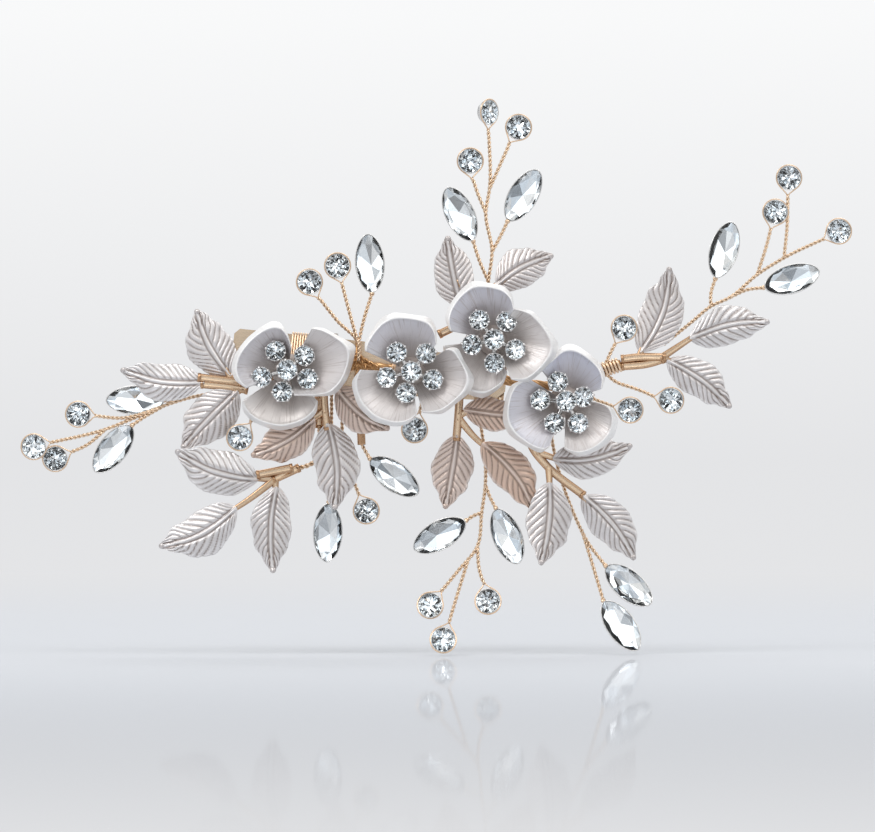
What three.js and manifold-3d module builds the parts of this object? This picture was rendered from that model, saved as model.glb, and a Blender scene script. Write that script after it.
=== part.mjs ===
// Bridal hair clip: an alligator clip that carries a wire spine with cast flowers,
// leaf sprigs and crystals on twisted wire stems. Millimetres, +Z up, the ornament
// faces -Y, and the origin is the middle of the clip's grip.
import * as THREE from 'three';
import Module from 'manifold-3d';
import { mergeVertices } from 'three/addons/utils/BufferGeometryUtils.js';

// depths along Y, from the grip plane at 0 towards the front
const WIRE_Y = -1.7;
const SPINE_Y = -3.2;
const SPRIG_Y = -3.3;
const FLOWER_BACK_Y = -4.5;

// wires
const STEM_RADIUS = 0.42;
const SPINE_RADIUS = 0.9;
const TUBE_RADIUS = 0.8;
const LOOP_WIRE_RADIUS = 0.17;
const BINDING_RADIUS = 0.3;
const LOOP_REACH = 2.5;
const STEM_SIDES = 4;
const LOOP_SIDES = 3;

// stones
const ROUND_RADIUS = 2.1;
const ROUND_LOOP_RADIUS = 2.5;
const ROUND_CROWN = 0.9;
const ROUND_PAVILION = 1.2;
const NAVETTE_LENGTH = 11.4;
const NAVETTE_WIDTH = 5.4;
const NAVETTE_LOOP_GAP = 0.34;
const GIRDLE_HALF = 0.2;

// flowers
const PETAL_THICKNESS = 0.7;
const PETAL_RISE = 4.2;
const CLUSTER_RADIUS = 4.5;
const FLOWER_HUB_RADIUS = 3;

// leaves
const LEAF_THICKNESS = 0.6;
const LEAF_FOLD = 0.9;

// The wings sweep back beyond the clip's two ends, and the lowest stems lean forward.
const SWEEP_LEFT_X = -32;
const SWEEP_RIGHT_X = 20;
const SWEEP_SLOPE = 0.3;
const LEAN_BELOW_Z = -36;
const LEAN_SLOPE = 0.45;
const BEND_EASE = 10;

// alligator clip, in its own frame: x along the clip, y away from the ornament, z across
const CLIP_TILT = 5.8;
const PLATE_BACK_Y = -0.15;
const PLATE_THICKNESS = 0.8;
const PLATE_END_X = -32.5;
const PLATE_TIP_X = 20.5;
const PLATE_HALF_WIDTH = 5.0;
const PLATE_TIP_HALF_WIDTH = 3.9;
const FLANGE = 0.6;
const HINGE_X = -14;
const HINGE_Y = 3.0;
const PIN_RADIUS = 0.75;
const PIN_HOLE_RADIUS = 1.1;
const PIN_HALF_LENGTH = 6.0;
const PIN_HEAD_RADIUS = 1.4;
const JAW_HALF_WIDTH = 3.7;
const JAW_THICKNESS = 0.8;
const TOOTH_PITCH = 2.2;
const TOOTH_DEPTH = 1.1;

const wasm = await Module();
wasm.setup();

const COLOURS = {
  pearl: ['#dcd6d2', 0.45, 0.35],
  silver: ['#cfc8c2', 0.35, 0.85],
  gold: ['#d8ab78', 0.3, 0.95],
  crystal: ['#e9eef2', 0.08, 0.1],
  steel: ['#b9b4ac', 0.35, 0.9],
};

const radians = (degrees) => (degrees * Math.PI) / 180;
const vec = (p) => new THREE.Vector3(p[0], p[1], p[2]);

function geometry(points, triangles) {
  const g = new THREE.BufferGeometry();
  g.setAttribute('position', new THREE.Float32BufferAttribute(points.flatMap((p) => [p.x, p.y, p.z]), 3));
  g.setIndex(triangles.flat());
  return g;
}

function toManifold(source) {
  const g = source.clone();
  g.deleteAttribute('normal');
  g.deleteAttribute('uv');
  const merged = mergeVertices(g, 1e-4);
  return new wasm.Manifold(
    new wasm.Mesh({
      numProp: 3,
      vertProperties: new Float32Array(merged.attributes.position.array),
      triVerts: new Uint32Array(merged.index.array),
    }),
  );
}

function fromManifold(solid) {
  const mesh = solid.getMesh();
  const g = new THREE.BufferGeometry();
  g.setAttribute('position', new THREE.Float32BufferAttribute(mesh.vertProperties, 3));
  g.setIndex([...mesh.triVerts]);
  return g;
}

function union(pieces) {
  return fromManifold(pieces.map(toManifold).reduce((all, piece) => all.add(piece)));
}

function cut(body, tools) {
  return fromManifold(tools.map(toManifold).reduce((left, tool) => left.subtract(tool), toManifold(body)));
}

function named(name, g, colour) {
  const [hex, roughness, metalness] = COLOURS[colour];
  const material = new THREE.MeshStandardMaterial({ color: hex, roughness, metalness });
  const mesh = new THREE.Mesh(g, material);
  mesh.name = name;
  return mesh;
}

// A closed round wire through the given points. Rings keep their roll along the path.
function wire(path, radius, sides = STEM_SIDES, closed = false, endRadius = radius) {
  const points = path.map(vec);
  const count = points.length;
  const rings = [];
  let side = null;
  points.forEach((p, i) => {
    const before = closed ? points[(i + count - 1) % count] : points[Math.max(i - 1, 0)];
    const after = closed ? points[(i + 1) % count] : points[Math.min(i + 1, count - 1)];
    const along = after.clone().sub(before).normalize();
    if (!side) side = Math.abs(along.y) < 0.9 ? vec([0, 1, 0]) : vec([1, 0, 0]);
    side = side.clone().addScaledVector(along, -side.dot(along)).normalize();
    const other = along.clone().cross(side);
    const r = i === count - 1 ? endRadius : radius;
    for (let k = 0; k < sides; k += 1) {
      const a = (2 * Math.PI * k) / sides;
      rings.push(p.clone().addScaledVector(side, r * Math.cos(a)).addScaledVector(other, r * Math.sin(a)));
    }
  });
  const triangles = [];
  const spans = closed ? count : count - 1;
  for (let i = 0; i < spans; i += 1) {
    const next = (i + 1) % count;
    for (let k = 0; k < sides; k += 1) {
      const a = i * sides + k;
      const b = i * sides + ((k + 1) % sides);
      const c = next * sides + k;
      const d = next * sides + ((k + 1) % sides);
      triangles.push([a, b, d], [a, d, c]);
    }
  }
  if (!closed) {
    for (let k = 1; k < sides - 1; k += 1) {
      triangles.push([0, k + 1, k]);
      const last = (count - 1) * sides;
      triangles.push([last, last + k, last + k + 1]);
    }
  }
  return geometry(rings, triangles);
}

// A closed sheet between a front and a back surface over a grid of (row, column).
function sheet(rows, columns, front, back) {
  const points = [];
  for (const side of [front, back]) {
    for (let i = 0; i <= rows; i += 1) {
      for (let j = 0; j <= columns; j += 1) points.push(side(i / rows, j / columns));
    }
  }
  const across = columns + 1;
  const offset = (rows + 1) * across;
  const triangles = [];
  for (let i = 0; i < rows; i += 1) {
    for (let j = 0; j < columns; j += 1) {
      const a = i * across + j;
      const b = a + 1;
      const c = a + across;
      const d = c + 1;
      triangles.push([a, b, d], [a, d, c]);
      triangles.push([offset + a, offset + d, offset + b], [offset + a, offset + c, offset + d]);
    }
  }
  const rim = [];
  for (let j = 0; j < columns; j += 1) rim.push(j);
  for (let i = 0; i < rows; i += 1) rim.push(i * across + columns);
  for (let j = columns; j > 0; j -= 1) rim.push(rows * across + j);
  for (let i = rows; i > 0; i -= 1) rim.push(i * across);
  rim.forEach((a, k) => {
    const b = rim[(k + 1) % rim.length];
    triangles.push([a, offset + b, b], [a, offset + a, offset + b]);
  });
  const g = geometry(points, triangles);
  if (signedVolume(g) < 0) g.setIndex(triangles.flatMap(([a, b, c]) => [a, c, b]));
  return g;
}

function signedVolume(g) {
  const p = g.attributes.position;
  const index = g.index.array;
  let volume = 0;
  const [a, b, c] = [new THREE.Vector3(), new THREE.Vector3(), new THREE.Vector3()];
  for (let i = 0; i < index.length; i += 3) {
    a.fromBufferAttribute(p, index[i]);
    b.fromBufferAttribute(p, index[i + 1]);
    c.fromBufferAttribute(p, index[i + 2]);
    volume += a.dot(b.cross(c)) / 6;
  }
  return volume;
}

// A cut stone from its outline: flat table, girdle band and a pointed or ridged back.
// The outline lies in x and z, and the table faces -Y.
function stone(outline, tableScale, crown, pavilion, culetScale) {
  const n = outline.length;
  const ring = (scale, y) => outline.map(([x, z]) => vec([x * scale, y, z * scale]));
  const levels = [
    ring(tableScale, -GIRDLE_HALF - crown),
    ring(1, -GIRDLE_HALF),
    ring(1, GIRDLE_HALF),
    ring(culetScale, GIRDLE_HALF + pavilion),
  ];
  const points = levels.flat();
  const triangles = [];
  for (let level = 0; level < levels.length - 1; level += 1) {
    for (let k = 0; k < n; k += 1) {
      const a = level * n + k;
      const b = level * n + ((k + 1) % n);
      triangles.push([a, b, b + n], [a, b + n, a + n]);
    }
  }
  for (let k = 1; k < n - 1; k += 1) {
    triangles.push([0, k + 1, k]);
    const last = (levels.length - 1) * n;
    triangles.push([last, last + k, last + k + 1]);
  }
  const g = geometry(points, triangles);
  if (signedVolume(g) < 0) g.setIndex(triangles.flatMap(([a, b, c]) => [a, c, b]));
  return g;
}

function circle(radius, count) {
  return Array.from({ length: count }, (_, k) => {
    const a = (2 * Math.PI * (k + 0.5)) / count;
    return [radius * Math.cos(a), radius * Math.sin(a)];
  });
}

// The pointed oval of a navette, long axis along x.
function navette(length, width, count) {
  return Array.from({ length: count }, (_, k) => {
    const a = (2 * Math.PI * k) / count;
    const x = Math.cos(a);
    const z = Math.sign(Math.sin(a)) * Math.pow(Math.abs(Math.sin(a)), 1.25);
    return [(length / 2) * x, (width / 2) * z];
  });
}

const roundStone = (sides = 8) => stone(circle(ROUND_RADIUS, sides), 0.6, ROUND_CROWN, ROUND_PAVILION, 0.25);
const navetteStone = () => stone(navette(NAVETTE_LENGTH, NAVETTE_WIDTH, 10), 0.55, 1.1, 1.3, 0.3);

// Places a flat item: turned in the picture plane by roll, then faced sideways by yaw.
function placed(g, [x, y, z], roll = 0, yaw = 0) {
  const turn = new THREE.Matrix4().makeRotationY(radians(-roll));
  const face = new THREE.Matrix4().makeRotationZ(radians(yaw));
  const move = new THREE.Matrix4().makeTranslation(x, y, z);
  return g.clone().applyMatrix4(move.multiply(face).multiply(turn));
}

const flatLoop = (outline) => wire(outline.map(([x, z]) => [x, 0, z]), LOOP_WIRE_RADIUS, LOOP_SIDES, true);
const roundLoop = () => flatLoop(circle(ROUND_LOOP_RADIUS, 8));
const navetteLoop = () =>
  flatLoop(navette(NAVETTE_LENGTH + 3 * NAVETTE_LOOP_GAP, NAVETTE_WIDTH + 2 * NAVETTE_LOOP_GAP, 10));

// Round stones: name, centre (x, y, z), and how far each is turned to the side.
const ROUND_STONES = {
  left_stone_1: [[-71.0, -3, -14.6]],
  left_stone_2: [[-66.8, -2.4, -16.9]],
  left_stone_3: [[-62.3, -2, -8.3]],
  upper_left_stone_1: [[-17.4, -4, 17.1]],
  upper_left_stone_2: [[-12.0, -4.4, 20.2]],
  top_stone_1: [[17.1, -2.6, 49.8], 48],
  top_stone_2: [[22.8, -2.4, 46.9]],
  top_stone_3: [[13.5, -2.8, 40.4]],
  far_right_stone_1: [[75.6, -1.6, 37.7]],
  far_right_stone_2: [[72.9, -2.2, 31.0]],
  far_right_stone_3: [[85.5, -1, 27.4]],
  right_stone_1: [[43.2, -4, 8.3]],
  right_stone_2: [[52.3, -4.4, -5.6]],
  right_stone_3: [[44.4, -3, -7.5]],
  bottom_stone_1: [[5.8, -3, -45.0]],
  bottom_stone_2: [[8.3, -3.4, -51.5]],
  bottom_stone_3: [[16.9, -3, -44.2]],
  lower_stone_1: [[-30.8, -4.6, -12.8]],
  lower_stone_2: [[2.8, -5, -11.3]],
  lower_stone_3: [[-6.5, -2.6, -26.9]],
};

// Navette crystals: name, centre (x, y, z), long axis' angle above +X, sideways turn.
const NAVETTES = {
  left_navette_1: [[-51.2, -1.2, -5.6], 0],
  left_navette_2: [[-55.4, -2.8, -15.0], 51],
  upper_left_navette: [[-5.8, -3.6, 20.7], 94],
  top_navette_1: [[11.5, -2.6, 30.2], 116],
  top_navette_2: [[23.7, -2.4, 33.8], 59],
  far_right_navette_1: [[62.8, -1.8, 23.6], 73],
  far_right_navette_2: [[76.2, -1.6, 18.0], 17],
  lower_navette_1: [[-13.9, -2.4, -31.1], 88],
  lower_navette_2: [[-1.1, -2.4, -20.3], 144],
  bottom_navette_1: [[7.6, -3, -31.6], 29],
  bottom_navette_2: [[20.6, -3, -31.8], 112],
  bottom_right_navette_1: [[44.1, -3, -41.3], 140],
  bottom_right_navette_2: [[42.5, -3.4, -49.0], 125],
};

// Twisted stems of each spray, as points (x, y, z) from the spray's foot outwards.
const SPRAYS = {
  left: {
    stones: ['left_stone_1', 'left_stone_2', 'left_stone_3'],
    navettes: ['left_navette_1', 'left_navette_2'],
    stems: [
      [
        [-33.6, WIRE_Y, -4.0], [-40.0, WIRE_Y, -5.0], [-45.6, WIRE_Y, -6.7],
        [-51.0, -2.2, -8.9], [-56.9, -2.4, -11.2], [-68.6, -3, -14.0],
      ],
      [[-56.9, -2.4, -11.2], [-60.5, -2.4, -14.2], [-64.6, -2.4, -16.0]],
      [[-46.5, -1.8, -7.1], [-53.3, -2.5, -9.0], [-59.9, -2, -8.5]],
      [[-45.6, WIRE_Y, -6.7], [-49.6, -2.2, -9.0], [-51.4, -2.6, -9.9]],
      [[-43.6, WIRE_Y, -6.1], [-45.2, -1.2, -5.7]],
    ],
  },
  upper_left: {
    stones: ['upper_left_stone_1', 'upper_left_stone_2'],
    navettes: ['upper_left_navette'],
    stems: [
      [[-8.0, -4.7, 2.0], [-8.0, -4.5, 5.2], [-12.0, -4, 9.6], [-16.2, -4, 14.9]],
      [[-8.0, -4.5, 5.2], [-9.5, -4.4, 10.5], [-11.4, -4.4, 17.7]],
      [[-8.0, -4.5, 5.2], [-6.9, -4, 10.0], [-5.4, -3.6, 14.6]],
    ],
  },
  top: {
    stones: ['top_stone_1', 'top_stone_2', 'top_stone_3'],
    navettes: ['top_navette_1', 'top_navette_2'],
    stems: [
      [
        [17.0, WIRE_Y, 4.2], [17.0, WIRE_Y, 17.2], [17.7, -2, 22.9], [16.5, -2.2, 30.4],
        [17.2, -2.4, 35.0], [17.0, -2.6, 47.3],
      ],
      [[17.2, -2.4, 35.0], [19.4, -2.4, 40.0], [21.5, -2.4, 44.7]],
      [[16.5, -2.2, 30.4], [14.8, -2.6, 34.5], [13.7, -2.8, 37.9]],
      [[17.7, -2, 22.9], [19.6, -2.2, 26.5], [20.7, -2.4, 28.8]],
      [[17.0, WIRE_Y, 17.2], [15.2, -2.2, 21.4], [14.1, -2.6, 24.9]],
    ],
  },
  far_right: {
    stones: ['far_right_stone_1', 'far_right_stone_2', 'far_right_stone_3'],
    navettes: ['far_right_navette_1', 'far_right_navette_2'],
    stems: [
      [
        [51.0, WIRE_Y, 5.2], [56.5, WIRE_Y, 9.6], [60.2, -1.7, 12.6], [64.0, -1.7, 14.4],
        [69.3, -1.7, 18.8], [74.6, -1.4, 22.1], [83.2, -1, 26.2],
      ],
      [[74.6, -1.4, 22.1], [75.2, -1.6, 28.0], [75.4, -1.6, 35.2]],
      [[69.3, -1.7, 18.8], [71.0, -2, 24.0], [72.2, -2.2, 28.6]],
      [[60.2, -1.7, 12.6], [60.2, -1.8, 15.0], [61.0, -1.8, 17.9]],
      [[64.0, -1.7, 14.4], [67.5, -1.6, 15.9], [70.5, -1.6, 16.2]],
    ],
  },
  bottom: {
    stones: ['bottom_stone_1', 'bottom_stone_2', 'bottom_stone_3'],
    navettes: ['bottom_navette_1', 'bottom_navette_2'],
    stems: [
      [
        [14.6, WIRE_Y, -5.2], [15.6, WIRE_Y, -11.0], [16.3, WIRE_Y, -16.0],
        [16.4, WIRE_Y, -21.9], [15.7, -2.4, -27.3], [14.9, -3, -33.6], [11.0, -3, -38.6],
        [7.2, -3, -43.2],
      ],
      [[14.9, -3, -33.6], [15.2, -3, -38.0], [16.4, -3, -41.8]],
      [[13.2, -3, -36.0], [11.0, -3.3, -43.0], [9.1, -3.4, -49.2]],
      [[16.4, WIRE_Y, -21.9], [17.2, -1.9, -24.0], [18.3, -3, -26.1]],
      [[15.7, -2.4, -27.3], [14.2, -2.8, -27.8], [12.9, -3, -28.7]],
    ],
  },
  bottom_right: {
    stones: [],
    navettes: ['bottom_right_navette_1', 'bottom_right_navette_2'],
    stems: [
      [
        [28.6, WIRE_Y, -5.6], [29.4, WIRE_Y, -14.0], [31.4, WIRE_Y, -22.0],
        [33.2, -1.8, -26.8], [36.2, -2, -33.0], [39.5, -3, -37.4],
      ],
      [[35.0, -1.9, -30.6], [37.0, -2.8, -37.0], [39.1, -3.4, -44.1]],
    ],
  },
};

// The spine's own path, and the single stems that are bound into it.
const SPINE_PATH = [
  [-28.6, SPINE_Y, -1.6],
  [-21.0, SPINE_Y, 0.2],
  [-8.0, SPINE_Y, 1.0],
  [3.0, SPINE_Y, -0.2],
  [14.0, SPINE_Y, -0.4],
  [24.0, SPINE_Y, -2.4],
  [33.0, SPINE_Y, -2.6],
  [38.5, SPINE_Y, 0.0],
  [42.6, SPINE_Y, 1.4],
];
const SINGLE_STEMS = {
  stones: [
    'right_stone_1', 'right_stone_2', 'right_stone_3',
    'lower_stone_1', 'lower_stone_2', 'lower_stone_3',
  ],
  navettes: ['lower_navette_1', 'lower_navette_2'],
  stems: [
    [[39.4, -3.6, 0.9], [40.6, -4, 3.6], [42.0, -4, 6.2]],
    [[39.0, -3.2, 0.2], [41.2, -3.2, -1.8], [45.5, -3.6, -3.4], [49.9, -4.4, -5.1]],
    [[33.0, SPINE_Y, -2.6], [37.0, -3.2, -5.2], [42.0, -3, -7.0]],
    [[-24.0, SPINE_Y, -0.4], [-26.6, -4, -5.6], [-29.3, -4.6, -10.8]],
    [[4.4, SPINE_Y, -0.3], [4.4, -4.2, -5.0], [3.5, -5, -8.9]],
    [
      [-11.6, SPINE_Y, 0.8], [-11.2, WIRE_Y, -5.6], [-10.8, WIRE_Y, -15.0], [-9.0, -2, -21.0],
      [-7.5, -2.6, -24.7],
    ],
    [[-13.4, SPINE_Y, 0.6], [-13.2, WIRE_Y, -5.6], [-13.4, WIRE_Y, -16.0], [-13.7, -2.4, -25.2]],
    [[-7.4, SPINE_Y, 1.0], [-7.6, -2.4, -5.0], [-7.4, -2.4, -14.0], [-5.9, -2.4, -16.8]],
  ],
};
const SPINE_TUBE = [[-7.6, -2.5, -9.6], [-7.4, -2.5, -14.2]];
// Loops of binding round spine and plate: clip x, the spine's height there, the loop's back.
const PLATE_BINDINGS = [
  [-20.6, 0.2, 1.8],
  [-19.5, 0.3, 1.8],
  [-18.4, 0.4, 1.8],
  [-1.0, 0.2, 0.5],
  [0.2, 0.1, 0.5],
];
const SPINE_COIL = { from: [38.6, SPINE_Y, 0.1], to: [42.4, SPINE_Y, 1.3], turns: 5, radius: 1.35 };

// Leaf sprigs: stems as point lists, leaves as (base, tip, width, bow to one side).
const SPRIGS = {
  left: {
    stems: [[[-29.2, SPRIG_Y, -3.4], [-32.4, SPRIG_Y, -2.8], [-39.6, SPRIG_Y, -2.2]]],
    petioles: [[[-31.8, SPRIG_Y, -2.9], [-33.6, -2.9, 0.6]], [[-30.4, SPRIG_Y, -3.2], [-32.4, -3.3, -5.2]]],
    leaves: [
      { base: [-32.6, -2.8, -1.0], tip: [-39.2, -2.6, 11.7], width: 8.8, bow: -1.0 },
      { base: [-37.6, SPRIG_Y, -2.2], tip: [-53.7, -4.2, 0.2], width: 7.4, bow: -1.1 },
      { base: [-31.2, -3.3, -3.8], tip: [-41.9, -2.8, -14.8], width: 8.8, bow: 0.2 },
    ],
  },
  lower_left: {
    stems: [[[-15.6, WIRE_Y, -4.6], [-15.6, WIRE_Y, -16.4], [-18.8, -1.9, -18.3], [-24.6, SPRIG_Y, -21.0]]],
    petioles: [
      [[-24.0, SPRIG_Y, -20.8], [-28.6, SPRIG_Y, -20.6]],
      [[-24.0, SPRIG_Y, -20.8], [-29.2, -3.6, -24.8], [-33.2, -3.6, -27.4]],
      [[-24.0, SPRIG_Y, -20.8], [-23.9, -3.3, -23.6]],
    ],
    leaves: [
      { base: [-27.2, -3.6, -20.9], tip: [-43.1, -4.6, -15.4], width: 8.6, bow: -1.3 },
      { base: [-31.4, -3.6, -26.2], tip: [-46.2, -4.2, -33.8], width: 8.6, bow: -1.5 },
      { base: [-23.7, SPRIG_Y, -22.2], tip: [-24.4, -4.0, -38.6], width: 7.7, bow: 0.8 },
    ],
  },
  centre_left: {
    stems: [[[-14.6, -3.4, -1.4], [-14.6, SPRIG_Y, -6.0], [-14.0, SPRIG_Y, -11.4]]],
    petioles: [[[-14.6, SPRIG_Y, -7.6], [-18.2, -3.5, -10.4]], [[-14.4, -3.4, -2.4], [-11.0, -3.7, -4.2]]],
    leaves: [
      { base: [-16.4, -3.4, -9.0], tip: [-28.4, -3.6, -16.3], width: 7.6, bow: -1.0 },
      { base: [-13.8, SPRIG_Y, -10.0], tip: [-12.5, -4.0, -26.5], width: 8.8, bow: -1.0 },
      { base: [-12.2, -3.7, -3.4], tip: [-2.2, -4.6, -11.2], width: 7.4, bow: 1.0 },
    ],
  },
  top: {
    stems: [[[7.4, -3.6, 7.0], [10.4, -3.4, 8.6], [13.6, SPRIG_Y, 13.6]]],
    petioles: [[[13.2, SPRIG_Y, 13.2], [11.2, -3.2, 17.6]], [[13.4, SPRIG_Y, 13.4], [20.2, -3.2, 17.6]]],
    leaves: [
      { base: [12.0, -3.2, 12.0], tip: [9.1, -2.6, 25.8], width: 7.6, bow: -0.4 },
      { base: [18.4, -3.2, 16.3], tip: [29.3, -2.6, 22.3], width: 7.6, bow: -0.8 },
    ],
  },
  bottom_centre: {
    stems: [[[11.6, -3.4, -2.0], [11.2, -3.6, -8.6], [10.8, SPRIG_Y, -13.4]]],
    petioles: [
      [[11.2, -3.6, -8.6], [13.8, -3.7, -7.4]],
      [[11.2, -3.6, -9.0], [14.2, SPRIG_Y, -12.6], [17.6, SPRIG_Y, -15.6]],
    ],
    leaves: [
      { base: [12.2, -3.7, -7.4], tip: [24.2, -4.0, -8.6], width: 6.4, bow: 0.3 },
      { base: [11.0, SPRIG_Y, -12.3], tip: [8.7, -3.8, -26.3], width: 7.9, bow: -0.2 },
      { base: [15.8, SPRIG_Y, -13.8], tip: [25.8, -3.0, -26.7], width: 7.6, bow: -1.2 },
    ],
  },
  bottom_right: {
    stems: [[[25.4, -3.4, -5.0], [25.4, -3.4, -14.6], [28.0, -3.4, -18.0], [35.4, SPRIG_Y, -24.0]]],
    petioles: [
      [[26.2, -3.4, -15.6], [31.6, -3.7, -17.4]],
      [[28.6, -3.4, -18.4], [28.8, -4.4, -23.0]],
      [[35.0, SPRIG_Y, -23.7], [37.0, -3.4, -26.2]],
    ],
    leaves: [
      { base: [28.8, -4.4, -21.4], tip: [27.1, -5.4, -37.1], width: 8.6, bow: -0.7 },
      { base: [35.2, -3.4, -24.0], tip: [45.2, -3.8, -36.2], width: 7.8, bow: -1.0 },
      { base: [29.4, -3.6, -17.0], tip: [44.6, -4.0, -14.4], width: 7.4, bow: 1.2 },
    ],
  },
  right: {
    stems: [[[43.4, -3.4, 1.9], [46.0, -3.4, 2.6], [51.4, -3.4, 2.7]]],
    petioles: [
      [[46.2, -3.4, 2.6], [46.8, -3.2, 5.0]],
      [[50.6, -3.4, 2.7], [57.6, -3.0, 7.3]],
      [[50.8, -3.4, 2.7], [52.6, -3.2, 1.6]],
    ],
    leaves: [
      { base: [46.4, -3.2, 3.6], tip: [52.1, -2.8, 20.0], width: 8.4, bow: 1.6 },
      { base: [56.0, -3.1, 6.3], tip: [71.5, -2.6, 9.7], width: 7.6, bow: -1.0 },
      { base: [51.6, -3.3, 2.2], tip: [64.0, -3.0, -6.9], width: 7.2, bow: -0.8 },
    ],
  },
};

// Flowers: centre (x, z), how far forward, cluster's first angle, petals as
// (direction, reach, cup: share of the full rise, half angle).
const FLOWERS = [
  {
    centre: [-21.6, 0.2],
    forward: 0.3,
    clusterAngle: 120,
    petals: [[150, 11.4, 1, 60], [10, 12.8, 1, 60], [258, 11.8, 0.75, 56]],
  },
  {
    centre: [2.2, -0.2],
    forward: 2.2,
    clusterAngle: 124,
    petals: [[110, 11.8, 0.95, 55], [226, 12.0, 1, 54], [-14, 12.0, 1, 54]],
  },
  {
    centre: [18.0, 6.0],
    forward: 1.0,
    clusterAngle: 126,
    petals: [[112, 12.2, 1, 54], [-7, 12.4, 1, 54], [232, 11.6, 0.3, 52]],
  },
  {
    centre: [31.9, -5.8],
    forward: 0,
    clusterAngle: 98,
    petals: [[76, 11.2, 0.5, 54], [201, 12.6, 0.6, 54], [-42, 11.4, 0.9, 54]],
  },
];

// One cupped petal round the flower's centre, with a rim that rolls back.
function petal([direction, reach, cup, halfAngle]) {
  const surface = (s, q, depth) => {
    const side = 2 * q - 1;
    const angle = radians(direction + side * halfAngle * (1 - 0.2 * s ** 4));
    const outline = reach * (1 - 0.17 * side ** 4 - 0.05 * Math.abs(side));
    const r = 1.2 + (outline - 1.2) * s;
    const roll = s > 0.9 ? 0.5 : 0;
    const rise = cup * PETAL_RISE * (s * s * (1 - roll * (s - 0.9)) + 0.25 * s * side * side) - roll;
    return vec([r * Math.cos(angle), -rise + depth, r * Math.sin(angle)]);
  };
  return sheet(5, 5, (s, q) => surface(s, q, -PETAL_THICKNESS), (s, q) => surface(s, q, 0));
}

function disc(radius, front, back, sides) {
  const outline = circle(radius, sides);
  const g = new THREE.CylinderGeometry(radius, radius, back - front, outline.length);
  return g.translate(0, (back + front) / 2, 0);
}

function flower({ centre, forward, petals }) {
  const y = FLOWER_BACK_Y - forward;
  const pieces = petals.map(petal);
  pieces.push(disc(FLOWER_HUB_RADIUS, -PETAL_THICKNESS, 0, 12));
  if (forward > 0) pieces.push(disc(1.5, -0.2, forward, 8));
  return union(pieces).translate(centre[0], y, centre[1]);
}

function flowerCluster({ centre, forward, clusterAngle }) {
  const y = FLOWER_BACK_Y - forward;
  const pieces = [disc(CLUSTER_RADIUS, -2.8, -2.1, 10), disc(1.1, -2.3, -PETAL_THICKNESS - 0.3, 8)];
  for (let k = 0; k < 5; k += 1) {
    const a = radians(clusterAngle - 72 * k);
    const at = [CLUSTER_RADIUS * Math.cos(a), -3.7, CLUSTER_RADIUS * Math.sin(a)];
    pieces.push(placed(roundStone(6), at));
  }
  pieces.push(disc(1.2, -4.2, -2.4, 8));
  pieces.push(placed(roundStone(6), [0, -5.2, 0]));
  return union(pieces).translate(centre[0], y, centre[1]);
}

// One leaf: a thin folded blade whose midrib bows to one side.
function leaf({ base, tip, width, bow }) {
  const from = vec(base);
  const to = vec(tip);
  const along = to.clone().sub(from);
  const across = vec([0, 1, 0]).cross(along).normalize();
  const surface = (t, q, depth) => {
    const side = 2 * q - 1;
    const half = Math.max((width / 2) * Math.pow(Math.sin(Math.PI * Math.pow(t, 0.85)), 0.75) || 0, 0.25);
    const sideways = bow * Math.sin(Math.PI * t) + side * half;
    const centre = from.clone().addScaledVector(along, t).addScaledVector(across, sideways);
    centre.y += LEAF_FOLD * Math.abs(side) * (half / (width / 2)) + depth;
    return centre;
  };
  return sheet(6, 2, (t, q) => surface(t, q, -LEAF_THICKNESS), (t, q) => surface(t, q, 0));
}

function sprig({ stems, petioles, leaves }) {
  const pieces = stems.map((path) => wire(path, TUBE_RADIUS, 6));
  petioles.forEach((path) => pieces.push(wire(path, 0.6, 5)));
  leaves.forEach((one) => pieces.push(leaf(one)));
  return union(pieces);
}

// A stem that ends near a stone's loop is moved on to the loop's nearest corner.
function joined(path, loops) {
  const end = vec(path[path.length - 1]);
  let nearest = null;
  let shortest = LOOP_REACH;
  loops.forEach((loop) => {
    const p = loop.attributes.position;
    for (let corner = 0; corner < p.count; corner += LOOP_SIDES) {
      const middle = new THREE.Vector3();
      for (let k = 0; k < LOOP_SIDES; k += 1) {
        middle.add(new THREE.Vector3().fromBufferAttribute(p, corner + k));
      }
      middle.divideScalar(LOOP_SIDES);
      if (middle.distanceTo(end) < shortest) {
        shortest = middle.distanceTo(end);
        nearest = middle;
      }
    }
  });
  if (!nearest) return wire(path, STEM_RADIUS);
  const onLoop = [...path.slice(0, -1), [nearest.x, nearest.y, nearest.z]];
  return wire(onLoop, STEM_RADIUS, STEM_SIDES, false, LOOP_WIRE_RADIUS);
}

function stemsAndLoops({ stones, navettes, stems }) {
  const loops = stones.map((name) => {
    const [at, yaw = 0] = ROUND_STONES[name];
    return placed(roundLoop(), at, 0, yaw);
  });
  navettes.forEach((name) => {
    const [at, roll, yaw = 0] = NAVETTES[name];
    loops.push(placed(navetteLoop(), at, roll, yaw));
  });
  return [...loops, ...stems.map((path) => joined(path, loops))];
}

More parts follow.
